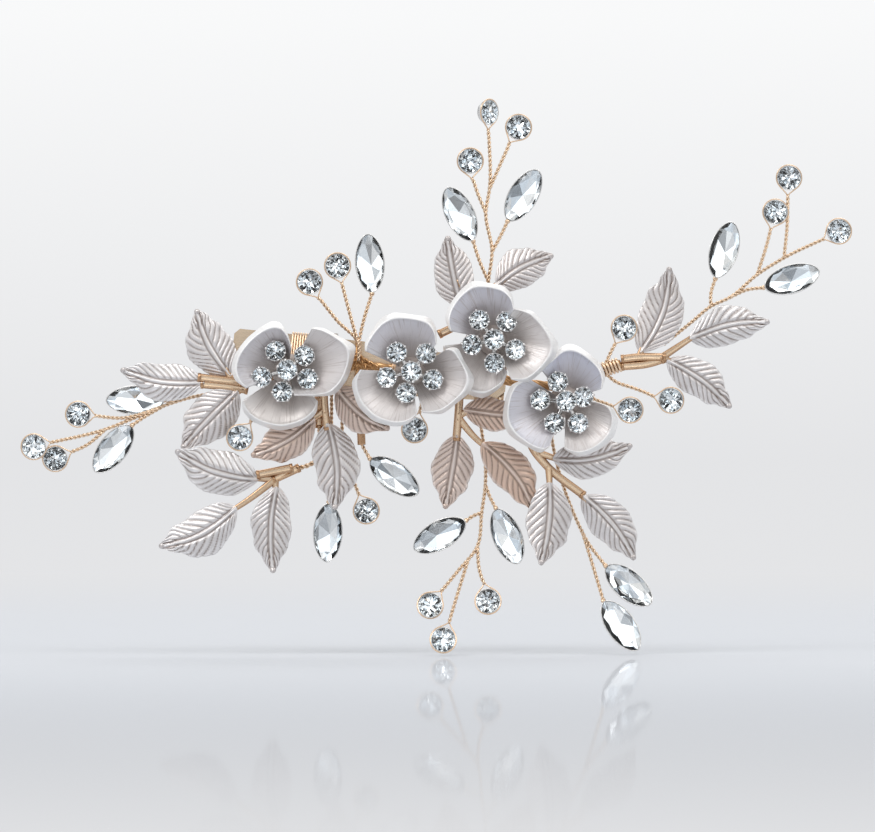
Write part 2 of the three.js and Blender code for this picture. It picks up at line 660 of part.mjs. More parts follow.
// Close turns of binding wire between two points.
function coil({ from, to, turns, radius }, thickness, perTurn = 7) {
  const start = vec(from);
  const along = vec(to).sub(start);
  const direction = along.clone().normalize();
  const up = Math.abs(direction.y) < 0.9 ? vec([0, 1, 0]) : vec([1, 0, 0]);
  const side = direction.clone().cross(up).normalize();
  const other = direction.clone().cross(side);
  const path = [];
  for (let k = 0; k <= turns * perTurn; k += 1) {
    const a = (2 * Math.PI * k) / perTurn;
    const p = start.clone().addScaledVector(along, k / (turns * perTurn));
    p.addScaledVector(side, radius * Math.cos(a)).addScaledVector(other, radius * Math.sin(a));
    path.push([p.x, p.y, p.z]);
  }
  return wire([start.toArray(), ...path, vec(to).toArray()], thickness, 4);
}

function inClipFrame(x, y, z) {
  const tilt = radians(CLIP_TILT);
  return [x * Math.cos(tilt) + z * Math.sin(tilt), y, -x * Math.sin(tilt) + z * Math.cos(tilt)];
}

// A squared loop of binding wire round the spine and the clip's plate.
function plateBinding(x, spineZ, backY) {
  const low = -PLATE_HALF_WIDTH - 0.7;
  const high = PLATE_HALF_WIDTH + 0.7;
  const middle = inClipFrame(x, 0, 0);
  const rise = spineZ - middle[2];
  const corners = [
    [low, backY],
    [high, backY],
    [high, -1.4],
    [rise + 0.6, SPINE_Y - SPINE_RADIUS],
    [rise - 0.6, SPINE_Y - SPINE_RADIUS],
    [low, -1.4],
  ];
  return wire(corners.map(([z, y]) => inClipFrame(x, y, z)), BINDING_RADIUS, 4, true);
}

function spine() {
  const pieces = [wire(SPINE_PATH, SPINE_RADIUS, 7), ...stemsAndLoops(SINGLE_STEMS)];
  pieces.push(wire(SPINE_TUBE, TUBE_RADIUS, 6));
  pieces.push(coil(SPINE_COIL, BINDING_RADIUS));
  PLATE_BINDINGS.forEach(([x, z, backY]) => pieces.push(plateBinding(x, z, backY)));
  return union(pieces);
}

// Flat outline in (x, z) extruded through y, for the clip's plate.
function slab(outline, front, back) {
  const shape = new THREE.Shape(outline.map(([x, z]) => new THREE.Vector2(x, z)));
  const g = new THREE.ExtrudeGeometry(shape, { depth: back - front, bevelEnabled: false });
  return g.rotateX(Math.PI / 2).translate(0, back, 0);
}

// Side profile in (x, y) extruded across the clip, for flanges and the jaw.
function sideProfile(outline, low, high) {
  const shape = new THREE.Shape(outline.map(([x, y]) => new THREE.Vector2(x, y)));
  return new THREE.ExtrudeGeometry(shape, { depth: high - low, bevelEnabled: false }).translate(0, 0, low);
}

function rod(radius, low, high, x, y, sides = 12) {
  const g = new THREE.CylinderGeometry(radius, radius, high - low, sides);
  return g.rotateX(Math.PI / 2).translate(x, y, (low + high) / 2);
}

function clipPlate() {
  const front = PLATE_BACK_Y - PLATE_THICKNESS;
  const pieces = [
    slab(
      [
        [PLATE_END_X, -PLATE_HALF_WIDTH + 1],
        [PLATE_END_X + 1, -PLATE_HALF_WIDTH],
        [HINGE_X + 6, -PLATE_HALF_WIDTH],
        [PLATE_TIP_X - 2, -PLATE_TIP_HALF_WIDTH],
        [PLATE_TIP_X, -PLATE_TIP_HALF_WIDTH + 2],
        [PLATE_TIP_X, PLATE_TIP_HALF_WIDTH - 2],
        [PLATE_TIP_X - 2, PLATE_TIP_HALF_WIDTH],
        [HINGE_X + 6, PLATE_HALF_WIDTH],
        [PLATE_END_X + 1, PLATE_HALF_WIDTH],
        [PLATE_END_X, PLATE_HALF_WIDTH - 1],
      ],
      front,
      PLATE_BACK_Y,
    ),
  ];
  const ear = [
    [PLATE_END_X + 1, PLATE_BACK_Y - 0.1],
    [HINGE_X + 3.4, PLATE_BACK_Y - 0.1],
    [HINGE_X + 2, HINGE_Y + 1],
    [HINGE_X + 1, HINGE_Y + 1.9],
    [HINGE_X - 1, HINGE_Y + 1.9],
    [HINGE_X - 2, HINGE_Y + 1],
    [HINGE_X - 4, 1.4],
    [PLATE_END_X + 1, 1.0],
  ];
  pieces.push(sideProfile(ear, PLATE_HALF_WIDTH - FLANGE, PLATE_HALF_WIDTH));
  pieces.push(sideProfile(ear, -PLATE_HALF_WIDTH, -PLATE_HALF_WIDTH + FLANGE));
  return cut(union(pieces), [rod(PIN_HOLE_RADIUS, -9, 9, HINGE_X, HINGE_Y)]);
}

// The jaw's web as a bent strip: outer line from the thumb pad to the tip.
const JAW_LINE = [
  [-31.5, 9.4],
  [-29.0, 9.2],
  [-19.0, 6.4],
  [-16.0, 5.9],
  [-11.0, 5.9],
  [0.0, 5.9],
  [7.0, 4.2],
  [14.0, 2.9],
  [20.4, 1.9],
];

function clipJaw() {
  const web = [...JAW_LINE, ...JAW_LINE.map(([x, y]) => [x, y - JAW_THICKNESS]).reverse()];
  const pieces = [sideProfile(web, -JAW_HALF_WIDTH, JAW_HALF_WIDTH)];
  const ear = [
    [HINGE_X - 2.4, 5.4],
    [HINGE_X - 2.2, HINGE_Y],
    [HINGE_X - 1.2, HINGE_Y - 1.8],
    [HINGE_X + 1.2, HINGE_Y - 1.8],
    [HINGE_X + 2.2, HINGE_Y],
    [HINGE_X + 2.4, 5.4],
  ];
  const teeth = [[1.6, 5.2]];
  const teethTo = 20.2;
  for (let x = 3.0; x < teethTo - 0.5; x += TOOTH_PITCH) {
    teeth.push([x, 0.15 + TOOTH_DEPTH], [x + TOOTH_PITCH / 2, 0.15]);
  }
  teeth.push([teethTo, 0.15 + TOOTH_DEPTH], [teethTo, 1.6], [14.0, 2.6], [7.0, 3.9], [2.4, 5.2]);
  for (const low of [JAW_HALF_WIDTH - FLANGE, -JAW_HALF_WIDTH]) {
    const high = low + FLANGE;
    pieces.push(sideProfile(ear, low, high), sideProfile(teeth, low, high));
  }
  return cut(union(pieces), [rod(PIN_HOLE_RADIUS, -9, 9, HINGE_X, HINGE_Y)]);
}

function hingePin() {
  const head = PLATE_HALF_WIDTH + 0.3;
  return union([
    rod(PIN_RADIUS, -PIN_HALF_LENGTH, PIN_HALF_LENGTH, HINGE_X, HINGE_Y),
    rod(PIN_HEAD_RADIUS, head, PIN_HALF_LENGTH, HINGE_X, HINGE_Y),
    rod(PIN_HEAD_RADIUS, -PIN_HALF_LENGTH, -head, HINGE_X, HINGE_Y),
  ]);
}

// Torsion spring round the pin: the coil with its plate leg, then the jaw's leg.
const SPRING_RADIUS = 1.45;
const SPRING_WIRE = 0.32;

function springCoil() {
  const turns = 4;
  const perTurn = 10;
  const path = [[HINGE_X - 5.5, 0.5, 2.3], [HINGE_X - 2, 1.1, 2.3]];
  for (let k = 0; k <= turns * perTurn; k += 1) {
    const a = radians(-90) + (2 * Math.PI * k) / perTurn;
    const z = 2.3 - (3.9 * k) / (turns * perTurn);
    path.push([HINGE_X + SPRING_RADIUS * Math.cos(a), HINGE_Y + SPRING_RADIUS * Math.sin(a), z]);
  }
  return wire(path, SPRING_WIRE, 5);
}

function springLeg() {
  return wire(
    [[HINGE_X + 0.8, HINGE_Y + 1.2, -2.4], [HINGE_X - 0.6, HINGE_Y + 1.45, -2.4], [HINGE_X - 5.5, 5.1, -2.4]],
    SPRING_WIRE,
    5,
  );
}

// Depth gained at a distance past the place where a bend starts, easing in smoothly.
function bendDepth(beyond, slope) {
  if (beyond <= 0) return 0;
  if (beyond < BEND_EASE) return (slope * beyond * beyond) / (2 * BEND_EASE);
  return slope * (beyond - BEND_EASE / 2);
}

// Bends a flat-laid piece of the ornament to the curve of the head.
function bent(g) {
  const p = g.attributes.position;
  for (let i = 0; i < p.count; i += 1) {
    const pastClip = Math.max(SWEEP_LEFT_X - p.getX(i), p.getX(i) - SWEEP_RIGHT_X);
    const back = bendDepth(pastClip, SWEEP_SLOPE) - bendDepth(LEAN_BELOW_Z - p.getZ(i), LEAN_SLOPE);
    p.setY(i, p.getY(i) + back);
  }
  return g;
}

const ornament = new THREE.Group();
ornament.name = 'hair_clip';
const clip = new THREE.Group();
clip.name = 'alligator_clip';
clip.rotation.y = radians(CLIP_TILT);
clip.add(named('clip_top_plate', clipPlate(), 'gold'));
clip.add(named('clip_jaw', clipJaw(), 'gold'));
clip.add(named('clip_hinge_pin', hingePin(), 'steel'));
clip.add(named('clip_spring_coil', springCoil(), 'steel'));
clip.add(named('clip_spring_jaw_leg', springLeg(), 'steel'));
ornament.add(clip);

ornament.add(named('wire_spine', bent(spine()), 'gold'));
Object.entries(SPRAYS).forEach(([place, spray]) => {
  ornament.add(named(`${place}_wire_spray`, bent(union(stemsAndLoops(spray))), 'gold'));
});
Object.entries(SPRIGS).forEach(([place, one]) => {
  ornament.add(named(`${place}_leaf_sprig`, bent(sprig(one)), 'silver'));
});
FLOWERS.forEach((one, i) => {
  ornament.add(named(`flower_${i + 1}`, bent(flower(one)), 'pearl'));
  ornament.add(named(`flower_${i + 1}_stones`, bent(flowerCluster(one)), 'crystal'));
});
Object.entries(ROUND_STONES).forEach(([name, [at, yaw = 0]]) => {
  ornament.add(named(name, bent(placed(roundStone(), at, 0, yaw)), 'crystal'));
});
Object.entries(NAVETTES).forEach(([name, [at, roll, yaw = 0]]) => {
  ornament.add(named(name, bent(placed(navetteStone(), at, roll, yaw)), 'crystal'));
});

export default ornament;
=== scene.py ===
"""The looks of the rhinestone hair clip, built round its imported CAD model.

The object's lengths are in millimetres until a piece becomes a mesh, and each piece is
laid out flat and then bent to the curve of the head, as the CAD part is. The table, the
lights and the camera are in metres.
"""

import math
import random

import bmesh
import bpy
import numpy as np
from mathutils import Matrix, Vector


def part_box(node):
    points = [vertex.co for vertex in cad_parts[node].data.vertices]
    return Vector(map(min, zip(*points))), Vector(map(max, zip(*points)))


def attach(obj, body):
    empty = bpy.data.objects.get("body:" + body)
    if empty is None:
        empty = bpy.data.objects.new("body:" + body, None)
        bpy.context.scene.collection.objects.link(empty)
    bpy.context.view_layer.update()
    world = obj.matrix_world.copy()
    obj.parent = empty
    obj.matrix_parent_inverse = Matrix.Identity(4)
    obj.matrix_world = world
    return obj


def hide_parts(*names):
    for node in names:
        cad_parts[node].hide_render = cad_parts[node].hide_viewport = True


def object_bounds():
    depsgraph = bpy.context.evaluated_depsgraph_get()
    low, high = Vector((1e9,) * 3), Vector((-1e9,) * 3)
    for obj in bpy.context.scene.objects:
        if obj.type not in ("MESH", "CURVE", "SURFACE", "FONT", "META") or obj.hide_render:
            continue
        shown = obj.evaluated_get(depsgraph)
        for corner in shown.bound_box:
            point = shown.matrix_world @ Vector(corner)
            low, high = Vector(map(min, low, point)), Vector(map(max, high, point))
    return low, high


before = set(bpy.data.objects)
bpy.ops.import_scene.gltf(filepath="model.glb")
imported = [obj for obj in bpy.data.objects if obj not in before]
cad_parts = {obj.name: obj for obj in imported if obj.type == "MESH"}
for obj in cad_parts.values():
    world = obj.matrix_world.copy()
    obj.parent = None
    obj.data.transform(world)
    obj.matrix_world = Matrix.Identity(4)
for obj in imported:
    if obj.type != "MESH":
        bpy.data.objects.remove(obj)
cad_low, cad_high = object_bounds()

MM = 0.001
BODY = "ornament"

# the curve of the ornament, as in the CAD part
SWEEP_LEFT_X = -32
SWEEP_RIGHT_X = 20
SWEEP_SLOPE = 0.3
LEAN_BELOW_Z = -36
LEAN_SLOPE = 0.45
BEND_EASE = 10
CLIP_TILT = 5.8

# depths along Y
WIRE_Y = -1.7
SPINE_Y = -3.2
SPRIG_Y = -3.3
FLOWER_BACK_Y = -4.5

# wires
STRAND_RADIUS = 0.2
TWIST_PITCH = 1.75
WIRE_STEP = 0.18
LOOP_RADIUS = 2.5
LOOP_WIRE = 0.13
LOOP_THROAT = 0.85
SPINE_STRANDS = 5
SPINE_STRAND_RADIUS = 0.42
SPINE_REACH = 0.55
SPINE_PITCH = 11
GATHERED_RADIUS = 0.22
GATHERED_PITCH = 2.4
SPRIG_WIRE_RADIUS = 0.26
SPRIG_WIRE_PITCH = 2.0
TUBE_RADIUS = 0.8
TUBE_LIP = 1.12
PETIOLE_RADII = (0.75, 0.5)
BINDING_RADIUS = 0.28
FINE_BINDING = 0.2
PLATE_HALF_WIDTH = 5.0
# how near a stem's end lies to the stone or the navette's tip that it carries
STONE_CATCH = 4.5
TIP_CATCH = 3.0
TIP_LEAD = 2.5

# stones
ROUND_RADIUS = 2.24
BEZEL_RADIUS = 2.42
SMALL_RADIUS = 1.85
NAVETTE_LENGTH = 11.5
NAVETTE_WIDTH = 5.75
NAVETTE_RIM = 0.22
NAVETTE_DEPTH = 1.1
NAVETTE_POINT = 1.14
ROUND_GIRDLE_BEHIND = 0.15
NAVETTE_GIRDLE_BEHIND = 0.1
GIRDLE = 0.12
CLAWS = 6
# painted reflection: how dark each mirror facet is painted, 0 clear to 1 black; each facet draws one
ROUND_PAINTED_REFLECTIONS = (0.0, 0.0, 0.0, 0.0, 0.03, 0.08, 0.22, 0.8)
NAVETTE_PAINTED_REFLECTIONS = (0.0, 0.0, 0.05, 0.15, 0.3, 0.45, 0.6)

# castings
PETAL_RISE = 4.2
PETAL_THICKNESS = 0.5
PETAL_CREASE = 0.72
PETAL_COLUMNS, PETAL_ROWS = 56, 34
HUB_RADII = (3.2, 2.2)
LEAF_FOLD = 0.9
LEAF_THICKNESS = 0.45
LEAF_LOBES = 11
LEAF_ROWS, LEAF_COLUMNS = 84, 33

rng = random.Random(7)


# ---------------------------------------------------------------- shared shape code


def bend_depth(beyond, slope):
    """Depth gained at a distance past the place where a bend starts."""
    eased = slope * beyond**2 / (2 * BEND_EASE)
    straight = slope * (beyond - BEND_EASE / 2)
    return np.where(beyond <= 0, 0, np.where(beyond < BEND_EASE, eased, straight))


def bent(points):
    """The same points after the wings sweep back and the lowest stems lean forward."""
    points = np.array(points, float)
    x, z = points[:, 0], points[:, 2]
    past_clip = np.maximum(SWEEP_LEFT_X - x, x - SWEEP_RIGHT_X)
    points[:, 1] += bend_depth(past_clip, SWEEP_SLOPE) - bend_depth(LEAN_BELOW_Z - z, LEAN_SLOPE)
    return points


def unit(vectors):
    return vectors / np.maximum(np.linalg.norm(vectors, axis=-1, keepdims=True), 1e-9)


class Piece:
    """Gathers the surfaces of one visual piece, then becomes one Blender object.

    Each point carries "place" (two surface coordinates and a number of its own part)
    and "shade" (groove, rim and warmth, each 0 to 1) for its material to use; groove
    carries painted shade, and on stone foil a facet's painted dark reflection; rim carries
    the lighter rims, partly painted highlight.
    """

    def __init__(self):
        self.points, self.place, self.shade = [], [], []
        self.faces, self.looks, self.smooth = [], [], []
        self.count = 0

    def add(self, points, faces, look, smooth=True, place=None, shade=None):
        points = np.asarray(points, float).reshape(-1, 3)
        n = len(points)
        seed = rng.random()
        if place is None:
            place = np.zeros((n, 2))
        if shade is None:
            shade = np.zeros((n, 3))
        self.points.append(points)
        self.place.append(np.column_stack([place, np.full(n, seed)]))
        self.shade.append(np.broadcast_to(shade, (n, 3)))
        self.faces += [[i + self.count for i in face] for face in faces]
        self.looks += [look] * len(faces)
        self.smooth += [smooth] * len(faces)
        self.count += n

    def make(self, name, node):
        points = bent(np.vstack(self.points))
        mesh = bpy.data.meshes.new(name)
        mesh.from_pydata((points * MM).tolist(), [], self.faces)
        looks = sorted(set(self.looks))
        for look in looks:
            mesh.materials.append(LOOKS[look])
        mesh.polygons.foreach_set("material_index", [looks.index(look) for look in self.looks])
        mesh.polygons.foreach_set("use_smooth", self.smooth)
        place = mesh.attributes.new("place", "FLOAT_VECTOR", "POINT")
        place.data.foreach_set("vector", np.vstack(self.place).astype(np.float32).ravel())
        shade = mesh.attributes.new("shade", "FLOAT_VECTOR", "POINT")
        shade.data.foreach_set("vector", np.vstack(self.shade).astype(np.float32).ravel())
        tidy = bmesh.new()
        tidy.from_mesh(mesh)
        bmesh.ops.recalc_face_normals(tidy, faces=tidy.faces)
        tidy.to_mesh(mesh)
        tidy.free()
        piece = bpy.data.objects.new(name, mesh)
        bpy.context.scene.collection.objects.link(piece)
        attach(piece, BODY)
        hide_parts(node)
        return piece


def smooth_path(points, step):
    """An even, smooth line through the given points."""
    points = np.array(points, float)
    gaps = np.linalg.norm(np.diff(points, axis=0), axis=1)
    at = np.concatenate([[0], np.cumsum(gaps)])
    slopes = np.gradient(points, at, axis=0) if len(points) > 2 else np.diff(points, axis=0) / gaps
    if len(points) == 2:
        slopes = np.vstack([slopes, slopes])
    count = max(2, int(round(at[-1] / step)) + 1)
    wanted = np.linspace(0, at[-1], count)
    k = np.clip(np.searchsorted(at, wanted, side="right") - 1, 0, len(gaps) - 1)
    h = gaps[k][:, None]
    t = ((wanted - at[k]) / gaps[k])[:, None]
    a, b = points[k], points[k + 1]
    u, v = slopes[k] * h, slopes[k + 1] * h
    return (
        (2 * t**3 - 3 * t**2 + 1) * a
        + (t**3 - 2 * t**2 + t) * u
        + (3 * t**2 - 2 * t**3) * b
        + (t**3 - t**2) * v
    )


def run_along(line):
    """The distance along a line at each of its points."""
    return np.concatenate([[0], np.cumsum(np.linalg.norm(np.diff(line, axis=0), axis=1))])


def softened(values):
    """One smoothing pass that leaves both ends where they are."""
    values[1:-1] = 0.5 * values[1:-1] + 0.25 * (values[2:] + values[:-2])


def directions(line, closed=False):
    if closed:
        return unit(np.roll(line, -1, axis=0) - np.roll(line, 1, axis=0))
    return unit(np.gradient(line, axis=0))


def side_vectors(line, closed=False, lean=(0, 1, 0)):
    """Two directions square to the line at each point; the first leans away from the viewer."""
    along = directions(line, closed)
    side = np.broadcast_to(np.array(lean, float), line.shape)
    side = unit(side - np.sum(side * along, axis=1)[:, None] * along)
    return side, np.cross(along, side)


def skin_faces(rings, sides, closed_line=False, caps=False):
    """Faces between rings of points along a line."""
    faces = []
    for i in range(rings if closed_line else rings - 1):
        a, b = i * sides, ((i + 1) % rings) * sides
        for k in range(sides):
            j = (k + 1) % sides
            faces.append([a + k, a + j, b + j, b + k])
    if caps:
        faces.append(list(range(sides))[::-1])
        faces.append([(rings - 1) * sides + k for k in range(sides)])
    return faces


def sheet_faces(rows, columns):
    """Faces of a thin sheet: a front grid, a back grid after it, and the edge between them."""
    n = rows * columns
    faces = []
    for i in range(rows - 1):
        for j in range(columns - 1):
            a = i * columns + j
            faces.append([a, a + 1, a + columns + 1, a + columns])
            faces.append([n + a, n + a + columns, n + a + columns + 1, n + a + 1])
    edge = list(range(columns))
    edge += [i * columns + columns - 1 for i in range(1, rows)]
    edge += [(rows - 1) * columns + j for j in range(columns - 2, -1, -1)]
    edge += [i * columns for i in range(rows - 2, 0, -1)]
    for a, b in zip(edge, edge[1:] + edge[:1]):
        faces.append([a, n + a, n + b, b])
    return faces


def painted_shade_tone(dark):
    """Shade numbers for a surface with painted shade only, neither rimmed nor warmed."""
    return np.column_stack([dark, 0 * dark, 0 * dark])


def inward_shade(angles):
    """Painted shade: a wire is darkest on the side that faces the middle of its bundle."""
    return painted_shade_tone(0.5 - 0.5 * np.cos(angles))


# painted shade at full strength over the whole surface
def full_shade(angles):
    return painted_shade_tone(0 * angles + 1)


def add_tube(piece, line, radius, look, sides=8, closed=False, side=None, profile=None, shade=None):
    """A round or grooved bar along a line; profile gives the ring's shape by angle."""
    own, other = side_vectors(line, closed) if side is None else side
    angles = np.linspace(0, 2 * np.pi, sides, endpoint=False)
    shape = np.ones(sides) if profile is None else profile(angles)
    radii = np.broadcast_to(radius, len(line))
    ring = own[:, None] * np.cos(angles)[None, :, None] + other[:, None] * np.sin(angles)[None, :, None]
    points = line[:, None] + ring * (radii[:, None] * shape[None])[..., None]
    place = np.stack(np.broadcast_arrays(run_along(line)[:, None], angles[None]), axis=-1).reshape(-1, 2)
    tone = None if shade is None else np.tile(shade(angles), (len(line), 1))
    faces = skin_faces(len(line), sides, closed, caps=not closed)
    piece.add(points.reshape(-1, 3), faces, look, True, place, tone)


def add_laid_wire(piece, wire, out, radius, look, sides):
    """One wire of a bundle; out points away from the bundle's middle along the wire."""
    along = directions(wire)
    own = unit(out - np.sum(out * along, axis=1)[:, None] * along)
    add_tube(piece, wire, radius, look, sides, side=(own, np.cross(along, own)), shade=inward_shade)


def add_strands(piece, line, count, reach, radius, pitch, look, sides=6):
    """Wires laid round each other in a helix about a line."""
    side, other = side_vectors(line)
    run = run_along(line)
    start = rng.random() * 2 * np.pi
    for k in range(count):
        phase = (start + 2 * np.pi * (run / pitch + k / count))[:, None]
        out = side * np.cos(phase) + other * np.sin(phase)
        add_laid_wire(piece, line + reach * out, out, radius, look, sides)


def add_bead(piece, centre, radii, look, rings=5, sides=8, shade=None):
    """A small rounded nugget, slightly uneven."""
    points = []
    for i in range(rings + 1):
        polar = math.pi * (i + 0.02) / (rings + 0.04)
        for k in range(sides):
            around = 2 * math.pi * k / sides
            uneven = 1 + 0.08 * rng.uniform(-1, 1)
            direction = [
                math.sin(polar) * math.cos(around),
                math.cos(polar),
                math.sin(polar) * math.sin(around),
            ]
            points.append([c + r * d * uneven for c, r, d in zip(centre, radii, direction)])
    piece.add(points, skin_faces(rings + 1, sides, caps=True), look, shade=shade)


# ---------------------------------------------------------------- looks


def new_look(name):
    material = bpy.data.materials.new(name)
    material.use_nodes = True
    tree = material.node_tree
    return material, tree, tree.nodes["Principled BSDF"]


def node(tree, kind, **settings):
    made = tree.nodes.new(kind)
    for key, value in settings.items():
        setattr(made, key, value)
    return made


def link(tree, source, target):
    tree.links.new(source, target)


def set_sockets(shader, values):
    for name, value in values.items():
        shader.inputs[name].default_value = value


def noise(tree, vector, scale, detail):
    made = node(tree, "ShaderNodeTexNoise")
    set_sockets(made, {"Scale": scale, "Detail": detail, "Roughness": 0.55})
    link(tree, vector, made.inputs["Vector"])
    return made.outputs["Fac"]


def ramp(tree, value, low, high, out_low, out_high):
    made = node(tree, "ShaderNodeMapRange")
    link(tree, value, made.inputs["Value"])
    set_sockets(made, {"From Min": low, "From Max": high, "To Min": out_low, "To Max": out_high})
    return made.outputs["Result"]


def stretched(tree, vector, scale):
    made = node(tree, "ShaderNodeMapping")
    set_sockets(made, {"Scale": scale})
    link(tree, vector, made.inputs["Vector"])
    return made.outputs["Vector"]


def mixed(tree, amount, first, second):
    """Mixes two shaders; the amount is a number or another node's output."""
    made = node(tree, "ShaderNodeMixShader")
    if isinstance(amount, float):
        set_sockets(made, {"Fac": amount})
    else:
        link(tree, amount, made.inputs["Fac"])
    link(tree, first, made.inputs[1])
    link(tree, second, made.inputs[2])
    return made.outputs["Shader"]


def blend(tree, amount, first, second):
    """Mixes two colours; each is a tuple or another node's output, and so can the amount be."""
    made = node(tree, "ShaderNodeMix", data_type="RGBA")
    if isinstance(amount, float):
        set_sockets(made, {"Factor": amount})
    else:
        link(tree, amount, made.inputs["Factor"])
    for socket, colour in ((made.inputs["A"], first), (made.inputs["B"], second)):
        if isinstance(colour, tuple):
            socket.default_value = (*colour, 1)
        else:
            link(tree, colour, socket)
    return made.outputs["Result"]


def bump(tree, bsdf, height, strength, distance_mm):
    made = node(tree, "ShaderNodeBump")
    set_sockets(made, {"Strength": strength, "Distance": distance_mm * MM})
    link(tree, height, made.inputs["Height"])
    link(tree, made.outputs["Normal"], bsdf.inputs["Normal"])


def shades(tree):
    """The mesh's numbers for painted shade, lighter rims (partly painted highlight) and warmth."""
    source = node(tree, "ShaderNodeAttribute", attribute_name="shade")
    split = node(tree, "ShaderNodeSeparateXYZ")
    link(tree, source.outputs["Vector"], split.inputs["Vector"])
    return split.outputs["X"], split.outputs["Y"], split.outputs["Z"]


def placed(tree, scale):
    """The mesh's own surface coordinates, stretched for streaks and brushing."""
    source = node(tree, "ShaderNodeAttribute", attribute_name="place")
    return stretched(tree, source.outputs["Vector"], scale)


def in_metres(tree):
    return node(tree, "ShaderNodeTexCoord").outputs["Object"]


def pearl_look():
    """Pearl lacquer: grey cup with painted shade toward the centre, white rolled rim, fine rays from the
    centre.
    """
    material, tree, bsdf = new_look("pearl_lacquer")
    inner, rim, cool = shades(tree)
    rays = noise(tree, placed(tree, (70, 2.6, 9)), 1.0, 4)
    lines = ramp(tree, rays, 0.54, 0.66, 0.0, 1.0)
    cup = blend(tree, cool, (0.72, 0.675, 0.65), (0.58, 0.61, 0.74))
    # painted shade: the cup's grey deepens toward the flower's centre and over the hub
    deep = blend(tree, inner, cup, (0.54, 0.475, 0.44))
    veined = blend(tree, lines, deep, (0.38, 0.32, 0.29))
    # the white rolled rim; its number also carries a painted highlight along the cup's side edges
    colour = blend(tree, rim, blend(tree, 0.5, deep, veined), (0.86, 0.85, 0.845))
    link(tree, colour, bsdf.inputs["Base Color"])
    grain = noise(tree, in_metres(tree), 2600, 4)
    link(tree, ramp(tree, grain, 0.3, 0.7, 0.3, 0.44), bsdf.inputs["Roughness"])
    set_sockets(bsdf, {"Metallic": 0.35, "Coat Weight": 0.15, "Coat Roughness": 0.3})
    bump(tree, bsdf, rays, 0.35, 0.25)
    return material


def leaf_look():
    """Satin silver casting: painted shade and its own brown in its grooves, painted highlight on lip and
    midrib.
    """
    material, tree, bsdf = new_look("satin_silver_leaf")
    groove, rim, warm = shades(tree)
    cloud = noise(tree, in_metres(tree), 420, 4)
    silver = blend(tree, ramp(tree, cloud, 0.3, 0.7, 0, 1), (0.76, 0.74, 0.745), (0.66, 0.635, 0.63))
    tinted = blend(tree, warm, silver, (0.66, 0.48, 0.38))
    # painted shade in the grooves and beside the midrib, with the casting's own brown there
    dark = blend(tree, groove, tinted, (0.22, 0.165, 0.14))
    # painted highlight on the raised lip and midrib
    colour = blend(tree, rim, dark, (0.88, 0.86, 0.85))
    link(tree, colour, bsdf.inputs["Base Color"])
    bsdf.inputs["Metallic"].default_value = 0.8
    streaks = noise(tree, placed(tree, (60, 9, 5)), 1.0, 4)
    link(tree, ramp(tree, streaks, 0.3, 0.7, 0.32, 0.46), bsdf.inputs["Roughness"])
    bump(tree, bsdf, streaks, 0.18, 0.12)
    return material


def gold_look(name, colour, shadow, low, high, scale):
    """Plated wire or sheet: colour drifts a little, and the hollows are darkened by painted shade."""
    material, tree, bsdf = new_look(name)
    painted_hollow_shade, _, _ = shades(tree)
    drift = noise(tree, in_metres(tree), scale, 3)
    plated = blend(tree, ramp(tree, drift, 0.3, 0.7, 0, 0.2), colour, shadow)
    # painted shade in the hollows, toward the shadow colour
    link(tree, blend(tree, painted_hollow_shade, shadow, plated), bsdf.inputs["Base Color"])
    bsdf.inputs["Metallic"].default_value = 1.0
    fine = noise(tree, in_metres(tree), scale * 6, 3)
    link(tree, ramp(tree, fine, 0.3, 0.7, low, high), bsdf.inputs["Roughness"])
    bump(tree, bsdf, fine, 0.06, 0.05)
    return material


def sheet_look(name, colour, shadow, low, high):
    """Stamped sheet metal with fine brushing, for the carried-over clip parts."""
    material, tree, bsdf = new_look(name)
    brushing = noise(tree, stretched(tree, in_metres(tree), (90, 900, 2600)), 1.0, 5)
    drift = noise(tree, in_metres(tree), 160, 3)
    link(tree, blend(tree, ramp(tree, drift, 0.3, 0.7, 0, 0.6), colour, shadow), bsdf.inputs["Base Color"])
    bsdf.inputs["Metallic"].default_value = 1.0
    link(tree, ramp(tree, brushing, 0.3, 0.7, low, high), bsdf.inputs["Roughness"])
    bump(tree, bsdf, brushing, 0.1, 0.05)
    return material


def crystal_look():
    material, tree, bsdf = new_look("cut_crystal")
    set_sockets(bsdf, {"Base Color": (0.965, 0.98, 0.99, 1), "Transmission Weight": 1.0, "IOR": 1.56})
    haze = noise(tree, in_metres(tree), 900, 2)
    link(tree, ramp(tree, haze, 0.55, 0.8, 0.0, 0.04), bsdf.inputs["Roughness"])
    return material


def foil_look():
    """Mirror foil behind each stone: every facet has its own painted reflection, bright to near black, and a
    trace of its own tint.
    """
    material, tree, bsdf = new_look("stone_foil")
    dark, cool, _ = shades(tree)
    cloud = noise(tree, in_metres(tree), 1500, 3)
    clear = blend(tree, cool, (1.0, 0.99, 0.965), (0.84, 0.92, 0.98))
    misted = blend(tree, ramp(tree, cloud, 0.45, 0.8, 0.0, 0.3), clear, (0.72, 0.75, 0.77))
    # painted reflection: each facet darkened toward black by its drawn number
    link(tree, blend(tree, dark, misted, (0.035, 0.037, 0.04)), bsdf.inputs["Base Color"])
    set_sockets(bsdf, {"Metallic": 1.0, "Roughness": 0.06})
    return material


